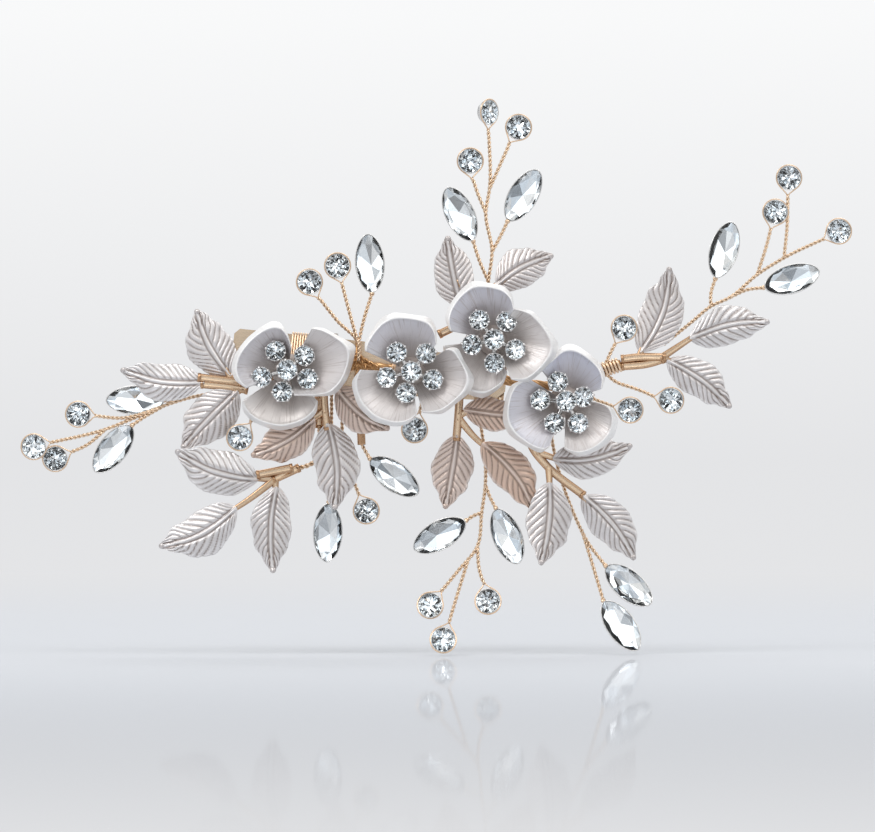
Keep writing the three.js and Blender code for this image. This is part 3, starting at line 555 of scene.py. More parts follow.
LOOKS = {
    "pearl": pearl_look(),
    "leaf": leaf_look(),
    "gold": gold_look("rose_gold_wire", (0.98, 0.83, 0.66), (0.78, 0.58, 0.41), 0.22, 0.36, 700),
    # a darker, browner copy of the gold, painted shade for the wires that lie in shadow between the flowers
    "amber": gold_look("gold_wire_in_painted_shade", (0.90, 0.64, 0.38), (0.52, 0.29, 0.13), 0.24, 0.38, 500),
    "tube": gold_look("pale_gold_tube", (0.95, 0.75, 0.54), (0.47, 0.29, 0.17), 0.2, 0.32, 300),
    "bezel": gold_look("silver_bezel", (0.93, 0.92, 0.91), (0.72, 0.71, 0.70), 0.2, 0.32, 900),
    "sheet": sheet_look("gold_sheet", (0.95, 0.77, 0.57), (0.88, 0.67, 0.46), 0.17, 0.3),
    "steel": sheet_look("spring_steel_wire", (0.66, 0.64, 0.61), (0.42, 0.40, 0.38), 0.18, 0.34),
    "crystal": crystal_look(),
    "foil": foil_look(),
}


# ---------------------------------------------------------------- stones


def ring(count, reach, heights, shift=0.0):
    """Facet corners on a circle; shift turns them by a share of the gap between two."""
    turns = [2 * math.pi * (k + shift) / count for k in range(count)]
    return [[reach * math.cos(a), y, reach * math.sin(a)] for a, y in zip(turns, heights)]


def uneven(count, deep, spread):
    """Heights that alternate about a depth and stray from it a little."""
    heights = []
    for k in range(count):
        swing = 1 if k % 2 else -1
        heights.append(deep + spread * swing + spread * 0.6 * rng.uniform(-1, 1))
    return heights


def cut_round(radius, crown):
    """A foil-backed round: clear crown faces in front, mirror facets of uneven tilt behind."""
    table, star = 0.7 * radius, 0.87 * radius
    star_rise = crown * (1 - (star * math.cos(math.pi / 8) - table) / (radius - table))

    points = ring(8, table, [-GIRDLE - crown] * 8)
    points += ring(8, star, [-GIRDLE - star_rise] * 8, 0.5)
    points += ring(16, radius, [-GIRDLE] * 16)
    points += ring(16, radius, [GIRDLE] * 16)
    points += ring(16, 0.66 * radius, uneven(16, 0.19 * radius, 0.05 * radius), 0.5)
    points += ring(8, 0.32 * radius, uneven(8, 0.27 * radius, 0.04 * radius))
    points += [[0, 0.3 * radius, 0]]
    clear, mirror = [list(range(8))], []
    for k in range(8):
        before, after = (k - 1) % 8, (k + 1) % 8
        middle, last = 17 + 2 * k, 16 + (2 * k + 2) % 16
        clear += [[k, 8 + k, after], [k, 8 + before, 16 + 2 * k, 8 + k]]
        clear += [[8 + k, 16 + 2 * k, middle], [8 + k, middle, last]]
        inner, next_inner = 64 + k, 64 + after
        outer, outer_before = 48 + 2 * k, 48 + (2 * k - 1) % 16
        mirror += [[72, inner, next_inner], [inner, outer_before, outer]]
        mirror += [[inner, outer, outer + 1], [inner, outer + 1, next_inner]]
    for k in range(16):
        after = (k + 1) % 16
        clear.append([16 + k, 16 + after, 32 + after, 32 + k])
        mirror += [[48 + k, 32 + k, 32 + after], [48 + k, 32 + after, 48 + after]]
    return np.array(points, float), clear, mirror


def cut_navette():
    """The same in few large faces, on a unit circle that as_navette then stretches."""
    points = ring(8, 0.76, [-GIRDLE - 0.34] * 8)
    points += ring(16, 1.0, [-GIRDLE] * 16)
    points += ring(16, 1.0, [GIRDLE] * 16)
    points += ring(8, 0.72, [0.25 + 0.11 * rng.uniform(-1, 1) for _ in range(8)], 0.5)
    points += [[0.12 * rng.uniform(-1, 1), 0.66, 0.16 * rng.uniform(-1, 1)]]
    clear, mirror = [list(range(8))], []
    for k in range(8):
        after = (k + 1) % 8
        corner, middle, last = 8 + 2 * k, 9 + 2 * k, 8 + (2 * k + 2) % 16
        clear += [[k, corner, middle], [k, middle, after], [after, middle, last]]
        inner, before = 40 + k, 40 + (k - 1) % 8
        low, low_middle, low_last = 24 + 2 * k, 25 + 2 * k, 24 + (2 * k + 2) % 16
        mirror += [[48, before, inner], [before, low, inner]]
        mirror += [[inner, low, low_middle], [inner, low_middle, low_last]]
    for k in range(16):
        after = (k + 1) % 16
        clear.append([8 + k, 8 + after, 24 + after, 24 + k])
    return np.array(points, float), clear, mirror


def add_cut_stone(piece, points, clear, mirror, painted_reflections):
    """Clear crystal in front; flat mirror facets that share no points, each with its own painted reflection.
    """
    piece.add(points, clear, "crystal", False)
    drawn = [(rng.choice(painted_reflections), rng.random()) for _ in mirror]
    for face, (dark, cool) in zip(mirror, drawn):
        piece.add(points[face], [list(range(len(face)))], "foil", False, shade=[dark, cool, 0])


def turned(points, centre, spin=0.0, yaw=0.0, nod=0.0):
    """Spins about the facing axis, then faces the stone sideways and up, then moves it."""
    a, b, c = (math.radians(v) for v in (spin, yaw, nod))
    roll = np.array([[math.cos(a), 0, -math.sin(a)], [0, 1, 0], [math.sin(a), 0, math.cos(a)]])
    face = np.array([[math.cos(b), -math.sin(b), 0], [math.sin(b), math.cos(b), 0], [0, 0, 1]])
    lift = np.array([[1, 0, 0], [0, math.cos(c), -math.sin(c)], [0, math.sin(c), math.cos(c)]])
    return points @ (face @ lift @ roll).T + np.array(centre, float)


def as_navette(points, length, width):
    """Stretches a round stone's outline to a pointed oval with its long axis along X."""
    points = points.copy()
    reach = np.hypot(points[:, 0], points[:, 2])
    turn = np.arctan2(points[:, 2], points[:, 0])
    points[:, 0] = length / 2 * reach * np.cos(turn)
    points[:, 2] = width / 2 * reach * np.sign(np.sin(turn)) * np.abs(np.sin(turn)) ** NAVETTE_POINT
    return points


def add_ring(piece, outline, bars, place_it):
    """A rim swept round an outline; bars are the rim's section as (outwards, y) pairs."""
    outline = np.array(outline, float)
    out = unit(np.column_stack([outline[:, 0], 0 * outline[:, 0], outline[:, 2]]))
    points = np.stack([outline + out * o + np.array([0, y, 0]) for o, y in bars], axis=1)
    faces = skin_faces(len(outline), len(bars), closed_line=True)
    piece.add(place_it(points.reshape(-1, 3)), faces, "bezel")


def circle(radius, count=32):
    turns = np.linspace(0, 2 * np.pi, count, endpoint=False)
    return np.column_stack([radius * np.cos(turns), 0 * turns, radius * np.sin(turns)])


def add_round_stone(piece, centre, radius, spin, yaw=0.0, nod=0.0, claws=0):
    """A brilliant in a metal cup, with claws over its edge if it has any."""
    scale = radius / ROUND_RADIUS
    points, clear, mirror = cut_round(radius, 0.36 * scale)

    def place_it(flat):
        return turned(flat, centre, spin, yaw, nod)

    add_cut_stone(piece, place_it(points), clear, mirror, ROUND_PAINTED_REFLECTIONS)
    wall, deep = (BEZEL_RADIUS - ROUND_RADIUS) * scale, 1.35 * scale
    cup = [(0.02, -0.14), (0.5 * wall, -0.2), (wall, -0.06), (wall, 0.5), (-0.3, deep), (-0.1, 0.2)]
    add_ring(piece, circle(radius), cup, place_it)
    cap = [[0.0, 1.55 * scale, 0.0]]
    rim = circle(radius - 0.45, 16) + np.array([0, deep, 0])
    piece.add(place_it(np.vstack([rim, cap])), [[k, (k + 1) % 16, 16] for k in range(16)], "bezel")
    for k in range(claws):
        a = 2 * math.pi * (k + 0.5) / claws
        reach = radius + 0.05
        at = place_it(np.array([[reach * math.cos(a), -0.32, reach * math.sin(a)]]))[0]
        add_bead(piece, at, (0.34, 0.36, 0.34), "bezel", rings=4, sides=7)


def node_centre(name):
    """A CAD node's middle in flat millimetres, before the bend."""
    low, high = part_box(name)
    middle = np.array([(a + b) / 2 / MM for a, b in zip(low, high)])
    middle[1] -= bent([[middle[0], 0, middle[2]]])[0, 1]
    return middle


def girdle_centre(name, behind):
    """A stone's girdle lies a little farther back than its solid's middle."""
    return node_centre(name) + np.array([0, behind, 0])


# ---------------------------------------------------------------- stems, as in the CAD part


def numbered(name, count):
    """The CAD's names for repeated pieces; a lone piece has no number."""
    return [f"{name}_{k}" for k in range(1, count + 1)] if count > 1 else [name]


SPRAYS = {
    "left": {
        "stones": numbered("left_stone", 3),
        "navettes": numbered("left_navette", 2),
        "stems": [
            [[-33.6, WIRE_Y, -4.0], [-40.0, WIRE_Y, -5.0], [-45.6, WIRE_Y, -6.7], [-51.0, -2.2, -8.9],
             [-56.9, -2.4, -11.2], [-68.6, -3, -14.0]],
            [[-56.9, -2.4, -11.2], [-60.5, -2.4, -14.2], [-64.6, -2.4, -16.0]],
            [[-46.5, -1.8, -7.1], [-53.3, -2.5, -9.0], [-59.9, -2, -8.5]],
            [[-45.6, WIRE_Y, -6.7], [-49.6, -2.2, -9.0], [-51.4, -2.6, -9.9]],
            [[-43.6, WIRE_Y, -6.1], [-45.2, -1.2, -5.7]],
        ],
    },
    "upper_left": {
        "stones": numbered("upper_left_stone", 2),
        "navettes": numbered("upper_left_navette", 1),
        "stems": [
            [[-8.0, -4.7, 2.0], [-8.0, -4.5, 5.2], [-12.0, -4, 9.6], [-16.2, -4, 14.9]],
            [[-8.0, -4.5, 5.2], [-9.5, -4.4, 10.5], [-11.4, -4.4, 17.7]],
            [[-8.0, -4.5, 5.2], [-6.9, -4, 10.0], [-5.4, -3.6, 14.6]],
        ],
    },
    "top": {
        "stones": numbered("top_stone", 3),
        "navettes": numbered("top_navette", 2),
        "stems": [
            [[17.0, WIRE_Y, 4.2], [17.0, WIRE_Y, 17.2], [17.7, -2, 22.9], [16.5, -2.2, 30.4],
             [17.2, -2.4, 35.0], [17.0, -2.6, 47.3]],
            [[17.2, -2.4, 35.0], [19.4, -2.4, 40.0], [21.5, -2.4, 44.7]],
            [[16.5, -2.2, 30.4], [14.8, -2.6, 34.5], [13.7, -2.8, 37.9]],
            [[17.7, -2, 22.9], [19.6, -2.2, 26.5], [20.7, -2.4, 28.8]],
            [[17.0, WIRE_Y, 17.2], [15.2, -2.2, 21.4], [14.1, -2.6, 24.9]],
        ],
    },
    "far_right": {
        "stones": numbered("far_right_stone", 3),
        "navettes": numbered("far_right_navette", 2),
        "stems": [
            [[51.0, WIRE_Y, 5.2], [56.5, WIRE_Y, 9.6], [60.2, -1.7, 12.6], [64.0, -1.7, 14.4],
             [69.3, -1.7, 18.8], [74.6, -1.4, 22.1], [83.2, -1, 26.2]],
            [[74.6, -1.4, 22.1], [75.2, -1.6, 28.0], [75.4, -1.6, 35.2]],
            [[69.3, -1.7, 18.8], [71.0, -2, 24.0], [72.2, -2.2, 28.6]],
            [[60.2, -1.7, 12.6], [60.2, -1.8, 15.0], [61.0, -1.8, 17.9]],
            [[64.0, -1.7, 14.4], [67.5, -1.6, 15.9], [70.5, -1.6, 16.2]],
        ],
    },
    "bottom": {
        "stones": numbered("bottom_stone", 3),
        "navettes": numbered("bottom_navette", 2),
        "stems": [
            [[14.6, WIRE_Y, -5.2], [15.6, WIRE_Y, -11.0], [16.3, WIRE_Y, -16.0], [16.4, WIRE_Y, -21.9],
             [15.7, -2.4, -27.3], [14.9, -3, -33.6], [11.0, -3, -38.6], [7.2, -3, -43.2]],
            [[14.9, -3, -33.6], [15.2, -3, -38.0], [16.4, -3, -41.8]],
            [[13.2, -3, -36.0], [11.0, -3.3, -43.0], [9.1, -3.4, -49.2]],
            [[16.4, WIRE_Y, -21.9], [17.2, -1.9, -24.0], [18.3, -3, -26.1]],
            [[15.7, -2.4, -27.3], [14.2, -2.8, -27.8], [12.9, -3, -28.7]],
        ],
    },
    "bottom_right": {
        "stones": [],
        "navettes": numbered("bottom_right_navette", 2),
        "stems": [
            [[28.6, WIRE_Y, -5.6], [29.4, WIRE_Y, -14.0], [31.4, WIRE_Y, -22.0], [33.2, -1.8, -26.8],
             [36.2, -2, -33.0], [39.5, -3, -37.4]],
            [[35.0, -1.9, -30.6], [37.0, -2.8, -37.0], [39.1, -3.4, -44.1]],
        ],
    },
}

SPINE_PATH = [
    [-28.6, SPINE_Y, -1.6], [-21.0, SPINE_Y, 0.2], [-8.0, SPINE_Y, 1.0], [3.0, SPINE_Y, -0.2],
    [14.0, SPINE_Y, -0.4], [24.0, SPINE_Y, -2.4], [33.0, SPINE_Y, -2.6], [38.5, SPINE_Y, 0.0],
    [42.6, SPINE_Y, 1.4],
]
SINGLE_STEMS = {
    "stones": numbered("right_stone", 3) + numbered("lower_stone", 3),
    "navettes": numbered("lower_navette", 2),
    "stems": [
        [[39.4, -3.6, 0.9], [40.6, -4, 3.6], [42.0, -4, 6.2]],
        [[39.0, -3.2, 0.2], [41.2, -3.2, -1.8], [45.5, -3.6, -3.4], [49.9, -4.4, -5.1]],
        [[33.0, SPINE_Y, -2.6], [37.0, -3.2, -5.2], [42.0, -3, -7.0]],
        [[-24.0, SPINE_Y, -0.4], [-26.6, -4, -5.6], [-29.3, -4.6, -10.8]],
        [[4.4, SPINE_Y, -0.3], [4.4, -4.2, -5.0], [3.5, -5, -8.9]],
        [[-11.6, SPINE_Y, 0.8], [-11.2, WIRE_Y, -5.6], [-10.8, WIRE_Y, -15.0], [-9.0, -2, -21.0],
         [-7.5, -2.6, -24.7]],
        [[-13.4, SPINE_Y, 0.6], [-13.2, WIRE_Y, -5.6], [-13.4, WIRE_Y, -16.0], [-13.7, -2.4, -25.2]],
        [[-7.4, SPINE_Y, 1.0], [-7.6, -2.4, -5.0], [-7.4, -2.4, -14.0], [-5.9, -2.4, -16.8]],
    ],
}
SPINE_TUBE = [[-7.6, -2.5, -9.6], [-7.4, -2.5, -14.2]]
# turns of binding round spine and plate: clip x of the first and last, how many,
# the spine's height there and the loop's back
PLATE_BINDINGS = [(-21.2, -18.2, 7, 0.3, 1.8), (-1.4, 0.6, 6, 0.15, 0.5)]
# wires that spread from the upper left spray's foot to the spine
GATHERED_TOP = [-8.1, -2.2, 5.6]
GATHERED_WAIST = [-8.2, -3.4, 3.6]
GATHERED_FEET = [
    [-12.2, -4.0, 0.4], [-10.4, -4.4, -0.8], [-8.4, -4.6, -2.4], [-6.2, -4.4, -0.2], [-4.2, -4.0, 0.6],
]
SPINE_COIL = {"from": [38.6, SPINE_Y, 0.1], "to": [42.4, SPINE_Y, 1.3], "turns": 6, "radius": 1.25}

STONE_YAW = {"top_stone_1": 48}


def round_centre(name):
    return girdle_centre(name, ROUND_GIRDLE_BEHIND)


def add_stone_loop(piece, centre, start, yaw):
    """The stem's wire opens into a V and runs once round the stone."""
    toward = start - centre
    toward[1] = 0
    toward = unit(toward)
    across = np.array([-toward[2], 0, toward[0]])
    across[1] = across[0] * math.sin(math.radians(yaw))
    across[0] *= math.cos(math.radians(yaw))
    apex = LOOP_RADIUS + LOOP_THROAT
    meet = math.acos(LOOP_RADIUS / apex)
    turns = np.linspace(meet, 2 * math.pi - meet, 34)
    arc = [centre + LOOP_RADIUS * (math.cos(a) * toward + math.sin(a) * across) for a in turns]
    tip = centre + apex * toward
    tip[1] = start[1]
    legs = [tip + (arc[0] - tip) * t for t in (0.0, 0.25, 0.5, 0.75)]
    back = [arc[-1] + (tip - arc[-1]) * t for t in (0.25, 0.5, 0.75)]
    legs[0] = tip + 0.1 * across
    back.append(tip - 0.1 * across)
    add_tube(piece, np.array(legs + arc + back), LOOP_WIRE, "gold", 7)
    return tip


def navette_axis(name):
    """Direction of a navette's long axis in the picture plane, from its CAD solid."""
    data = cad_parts[name].data
    points = np.array([v.co[:] for v in data.vertices]) / MM
    flat = points[:, [0, 2]] - points[:, [0, 2]].mean(axis=0)
    _, _, axes = np.linalg.svd(flat, full_matrices=False)
    return np.array([axes[0, 0], 0, axes[0, 1]])


def trimmed(line, target, clear):
    """Cuts the end of a line where it comes nearer to the target than clear."""
    reach = np.linalg.norm((line - target)[:, [0, 2]], axis=1)
    keep = max(3, int(np.argmax(reach < clear))) if (reach < clear).any() else len(line)
    return line[:keep]


def nearest(spots, end):
    """The spot nearest to a stem's end, and how far it is; with no spots, none and endless."""
    if not spots:
        return None, math.inf
    spot = min(spots, key=lambda c: np.linalg.norm(c - end))
    return spot, np.linalg.norm(spot - end)


def add_stems(piece, group):
    """Twisted stems that end in a loop round a stone or in a nugget on a navette's tip."""
    rounds = {name: round_centre(name) for name in group["stones"]}
    yaws = {tuple(round_centre(name)): STONE_YAW.get(name, 0) for name in group["stones"]}
    tips = []
    for name in group["navettes"]:
        centre, axis = girdle_centre(name, NAVETTE_GIRDLE_BEHIND), navette_axis(name)
        tips += [centre + axis * side * (NAVETTE_LENGTH / 2 + 0.1) for side in (-1, 1)]
    for path in group["stems"]:
        end = np.array(path[-1])
        stone, stone_gap = nearest(list(rounds.values()), end)
        tip, tip_gap = nearest(tips, end)
        if stone_gap < STONE_CATCH and (tip_gap >= TIP_CATCH or tip_gap > stone_gap - TIP_LEAD):
            line = smooth_path(path, WIRE_STEP)
            apex = add_stone_loop(piece, stone, end, yaws[tuple(stone)])
            line = trimmed(line, stone, LOOP_RADIUS + LOOP_THROAT)
            line = smooth_path(np.vstack([line[:-4:6], apex[None]]), WIRE_STEP)
        elif tip_gap < TIP_CATCH:
            line = smooth_path(path[:-1] + [list(tip)], WIRE_STEP)
            add_bead(piece, tip, (0.5, 0.5, 0.5), "gold", rings=6, sides=10)
        else:
            line = smooth_path(path, WIRE_STEP)
        add_strands(piece, line, 2, STRAND_RADIUS, STRAND_RADIUS, TWIST_PITCH, "gold")


def add_winding(piece, line, turns, radius, thickness):
    """Close turns of binding wire along a line."""
    steps = int(turns * 20)
    at = np.linspace(0, 1, steps + 1)
    spots = at * (len(line) - 1)
    middle = np.column_stack([np.interp(spots, np.arange(len(line)), line[:, k]) for k in range(3)])
    side, other = side_vectors(middle)
    phase = (2 * np.pi * turns * at)[:, None]
    out = side * np.cos(phase) + other * np.sin(phase)
    add_laid_wire(piece, middle + radius * out, out, thickness, "gold", 7)


def in_clip_frame(x, y, z):
    tilt = math.radians(CLIP_TILT)
    return [x * math.cos(tilt) + z * math.sin(tilt), y, -x * math.sin(tilt) + z * math.cos(tilt)]


def rounded_loop(corners, step, rounds):
    """A closed loop through straight runs with softened corners."""
    corners = np.array(corners, float)
    points = []
    for a, b in zip(corners, np.roll(corners, -1, axis=0)):
        count = max(1, int(round(np.linalg.norm(b - a) / step)))
        points += [a + (b - a) * k / count for k in range(count)]
    points = np.array(points)
    for _ in range(rounds):
        points = 0.5 * points + 0.25 * (np.roll(points, 1, axis=0) + np.roll(points, -1, axis=0))
    return points


def plate_binding(piece, x, spine_z, back_y):
    low, high = -PLATE_HALF_WIDTH - 0.3, PLATE_HALF_WIDTH + 0.3
    rise = spine_z - in_clip_frame(x, 0, 0)[2]
    corners = [(low, back_y), (high, back_y), (high, -1.4)]
    corners += [(rise + 0.6, -4.1), (rise - 0.6, -4.1), (low, -1.4)]
    loop = rounded_loop([in_clip_frame(x, y, z) for z, y in corners], 0.35, 2)
    add_tube(piece, loop, FINE_BINDING, "gold", 8, closed=True, side=side_vectors(loop, True, (1, 0, 0)))


def make_spray(place, group):
    piece = Piece()
    add_stems(piece, group)
    piece.make(f"{place}_twisted_stems", f"{place}_wire_spray")


def make_spine():
    piece = Piece()
    line = smooth_path(SPINE_PATH, 0.35)
    # the spine's strands and gathered wires take the gold copy painted in shade
    add_strands(piece, line, SPINE_STRANDS, SPINE_REACH, SPINE_STRAND_RADIUS, SPINE_PITCH, "amber", 8)
    for foot in GATHERED_FEET:
        gathered = smooth_path([foot, GATHERED_WAIST, GATHERED_TOP], WIRE_STEP)
        add_strands(piece, gathered, 2, GATHERED_RADIUS, GATHERED_RADIUS, GATHERED_PITCH, "amber")
    add_stems(piece, SINGLE_STEMS)
    add_tube(piece, smooth_path(SPINE_TUBE, 0.4), TUBE_RADIUS, "tube", 14)
    coil_line = smooth_path([SPINE_COIL["from"], SPINE_COIL["to"]], 0.3)
    add_winding(piece, coil_line, SPINE_COIL["turns"], SPINE_COIL["radius"], BINDING_RADIUS)
    for first, last, count, spine_z, back_y in PLATE_BINDINGS:
        for x in np.linspace(first, last, count):
            plate_binding(piece, x, spine_z, back_y)
    piece.make("bound_spine", "wire_spine")


def make_round_stone(name):
    piece = Piece()
    spin = rng.uniform(0, 45)
    tilt = [rng.uniform(-7, 7) for _ in range(2)]
    yaw = STONE_YAW.get(name, 0)
    add_round_stone(piece, round_centre(name), ROUND_RADIUS, spin, yaw + tilt[0], tilt[1])
    piece.make(f"{name}_brilliant", name)


def make_navette(name):
    piece = Piece()
    axis = navette_axis(name)
    roll = math.degrees(math.atan2(axis[2], axis[0]))
    centre = girdle_centre(name, NAVETTE_GIRDLE_BEHIND)
    yaw, nod = rng.uniform(-8, 8), rng.uniform(-8, 8)

    def place_it(flat):
        return turned(flat, centre, roll, yaw, nod)

    length, width = NAVETTE_LENGTH - 2 * NAVETTE_RIM, NAVETTE_WIDTH - 2 * NAVETTE_RIM
    points, clear, mirror = cut_navette()
    points = as_navette(points, length, width)
    points[:, 1] *= NAVETTE_DEPTH
    add_cut_stone(piece, place_it(points), clear, mirror, NAVETTE_PAINTED_REFLECTIONS)
    section = [(0.02, -0.14), (0.12, -0.2), (NAVETTE_RIM, -0.08)]
    section += [(NAVETTE_RIM, 0.35), (-0.3, 0.95), (-0.3, 0.8)]
    add_ring(piece, as_navette(circle(1.0, 44), length, width), section, place_it)
    piece.make(f"{name}_crystal", name)


# ---------------------------------------------------------------- flowers

def petal(cup, behind, cool, edge):
    """Its share of the full rise, its distance behind the foremost petal, how cool its grey
    is, and its edge as (x, z) from the flower's centre."""
    return {"cup": cup, "behind": behind, "cool": cool, "edge": edge}


FLOWERS = [
    {
        "centre": (-21.6, 0.2),
        "forward": 0.3,
        "stones": [(-2.2, 3.6), (3.3, 2.7), (-4.9, -1.4), (3.9, -1.7), (-0.9, -4.2)],
        "petals": [
            petal(1.0, 0.0, 0.35, [
                (0.9, 4.2), (0.1, 7.0), (-1.5, 9.2), (-3.0, 9.3), (-7.6, 6.2), (-10.0, 3.0),
                (-10.8, 0.3), (-10.1, -1.9), (-7.8, -3.6),
            ]),
            petal(1.0, 0.1, 0.15, [
                (4.9, 8.1), (7.0, 8.0), (10.0, 6.4), (13.2, 4.5), (12.6, 1.5), (11.5, -1.9),
                (9.2, -4.7), (1.4, -5.0),
            ]),
            petal(0.7, 0.9, 0.0, [
                (-8.6, -6.0), (-8.6, -7.6), (-7.2, -9.6), (-1.4, -11.7), (3.2, -10.4), (5.6, -8.3),
                (5.9, -6.0),
            ]),
        ],
    },
    {
        "centre": (2.2, -0.2),
        "forward": 2.2,
        "stones": [(-2.8, 3.7), (2.8, 3.5), (-4.7, -1.1), (4.1, -1.5), (-1.0, -4.0)],
        "petals": [
            petal(0.95, 0.5, 0.45, [
                (-8.9, 4.0), (-8.9, 5.8), (-8.0, 7.2), (-5.9, 10.2), (-3.9, 11.3), (0.5, 10.9),
                (3.7, 10.3), (4.7, 8.4), (4.9, 5.4),
            ]),
            petal(1.0, 0.0, 0.1, [
                (-9.8, 0.4), (-11.4, -1.8), (-10.2, -6.6), (-7.3, -9.4), (-3.0, -10.5), (-0.4, -9.9),
                (1.1, -8.2),
            ]),
            petal(1.0, 0.3, 0.1, [
                (5.6, 3.6), (7.4, 4.7), (8.9, 4.6), (9.9, 2.5), (12.1, -1.5), (11.4, -3.7), (8.7, -6.0),
                (5.8, -8.1), (2.2, -7.9),
            ]),
        ],
    },
    {
        "centre": (18.0, 6.0),
        "forward": 1.0,
        "stones": [(-2.8, 3.7), (2.4, 3.4), (-4.2, -1.0), (4.1, -1.9), (0.1, -4.5)],
        "petals": [
            petal(0.95, 0.4, 0.55, [
                (-8.4, 1.6), (-9.4, 3.9), (-8.9, 5.9), (-6.7, 9.2), (-4.4, 11.2), (-0.6, 10.8),
                (2.1, 10.2), (3.5, 8.5), (3.9, 5.8),
            ]),
            petal(1.0, 0.0, 0.1, [
                (4.0, 6.0), (7.5, 5.4), (9.4, 3.4), (12.5, -1.2), (12.0, -3.0), (9.7, -5.6),
                (6.5, -8.3), (3.3, -7.7),
            ]),
            petal(0.72, 1.3, 0.1, [
                (-9.7, -1.2), (-9.4, -6.0), (-6.4, -9.8), (-2.0, -11.3), (1.8, -8.6), (2.6, -6.4),
            ]),
        ],
    },
    {
        "centre": (31.9, -5.8),
        "forward": 0.0,
        "stones": [(-1.6, 3.7), (3.3, 0.8), (-5.0, 0.2), (-2.3, -4.2), (2.3, -4.2)],
        "petals": [
            petal(0.9, 0.5, 0.75, [
                (-5.2, 6.4), (-3.2, 7.6), (-0.8, 10.6), (0.9, 11.1), (2.8, 10.3), (6.8, 7.0),
                (7.6, 4.8), (6.9, 2.4),
            ]),
            petal(1.0, 0.0, 0.5, [
                (-7.4, 4.4), (-10.6, 3.1), (-11.7, 0.6), (-12.2, -4.1), (-11.1, -6.3), (-7.6, -8.7),
                (-4.9, -10.0), (-3.3, -8.8),
            ]),
            petal(0.9, 0.25, 0.1, [
                (4.9, 0.0), (7.1, -0.5), (9.0, -1.3), (10.0, -3.6), (9.4, -6.5), (6.7, -9.2),
                (2.4, -10.7), (-0.4, -9.2),
            ]),
        ],
    },
]
CLUSTER_BACK = {"ring": -3.6, "middle": -4.9}


def petal_outline(corners, count):
    """Even steps along the petal's edge, half way between a smooth curve and straight runs."""
    edges = np.array([[x, 0, z] for x, z in corners], float)
    line = smooth_path(edges, 0.2)
    stops = run_along(edges)
    at = np.linspace(0, stops[-1], len(line))
    straight = np.column_stack([np.interp(at, stops, edges[:, k]) for k in range(3)])
    line = 0.5 * line + 0.5 * straight
    for _ in range(10):
        softened(line)
    run = run_along(line)
    wanted = np.linspace(0, run[-1], count)
    return np.column_stack([np.interp(wanted, run, line[:, k]) for k in (0, 2)])


def add_petal(piece, centre, y, petal):
    """A cupped petal whose rim rolls outwards, wide at the tip and narrow at the sides."""
    columns, rows = PETAL_COLUMNS, PETAL_ROWS
    cup, behind, cool = petal["cup"], petal["behind"], petal["cool"]
    outline = petal_outline(petal["edge"], columns)
    reach = np.linalg.norm(outline, axis=1)
    way = outline / reach[:, None]
    across = np.linspace(-1, 1, columns)
    rounded = reach.copy()
    for _ in range(60):
        softened(rounded)
    rim_width = 0.4 + 1.0 * np.clip(1 - np.abs(across) ** 2.2, 0, 1) + np.maximum(reach - rounded, -0.4)
    crease = (reach - rim_width) / reach
    ruffle = 0.10 * np.sin(across * 7.0 + 9 * rng.random()) + 0.06 * np.sin(across * 13 + 5)
    front, back, place, shade = [], [], [], []
    for i in range(rows):
        v = i / (rows - 1)
        inside = min(v / PETAL_CREASE, 1.0)
        over = max((v - PETAL_CREASE) / (1 - PETAL_CREASE), 0.0)
        share = crease * inside + (1 - crease) * over
        r = 0.9 + (reach - 0.9) * share
        lateral = 0.9 * np.abs(across) ** 2.5 * inside
        rise = cup * PETAL_RISE * (inside**1.9 + 0.28 * lateral) + ruffle * inside
        lip = rim_width * (0.30 * math.sin(math.pi * min(over * 1.6, 1.0)) - 0.95 * over**2.2)
        depth = y + behind - rise - lip
        thick = PETAL_THICKNESS * (1 - 0.55 * over)
        x, z = centre[0] + r * way[:, 0], centre[1] + r * way[:, 1]
        front.append(np.column_stack([x, depth - PETAL_THICKNESS, z]))
        back.append(np.column_stack([x, depth - PETAL_THICKNESS + thick, z]))
        place.append(np.column_stack([across / 2 + 0.5, np.full(columns, v)]))
        rimness = 1 / (1 + math.exp(-(over - 0.16) * 30)) if over > 0 else 0.0
        # painted shade, darker toward the flower's centre
        painted_hollow_shade = np.clip(1.15 - share * 1.25, 0, 1) ** 1.3
        # painted highlight along the cup's side edges, carried with the rim
        edge = 0.35 * np.abs(across) ** 6 * inside
        shade.append(np.column_stack([painted_hollow_shade, np.clip(rimness + edge, 0, 1), np.full(columns, cool)]))
    faces = sheet_faces(rows, columns)
    piece.add(np.vstack(front + back), faces, "pearl", True, np.vstack(place * 2), np.vstack(shade * 2))


def make_flower(number, flower):
    piece = Piece()
    y = FLOWER_BACK_Y - flower["forward"]
    centre = flower["centre"]
    for petal in flower["petals"]:
        add_petal(piece, centre, y, petal)
    hub = np.array([[centre[0], y + 0.1, centre[1]], [centre[0], y - 0.9, centre[1]]])
    line = smooth_path(hub, 0.25)
    side = side_vectors(line, lean=(1, 0, 0))
    # the hub is painted in full shade, the cup's deepest grey
    add_tube(piece, line, np.linspace(*HUB_RADII, len(line)), "pearl", 28, side=side, shade=full_shade)
    piece.make(f"flower_{number}_petals", f"flower_{number}")


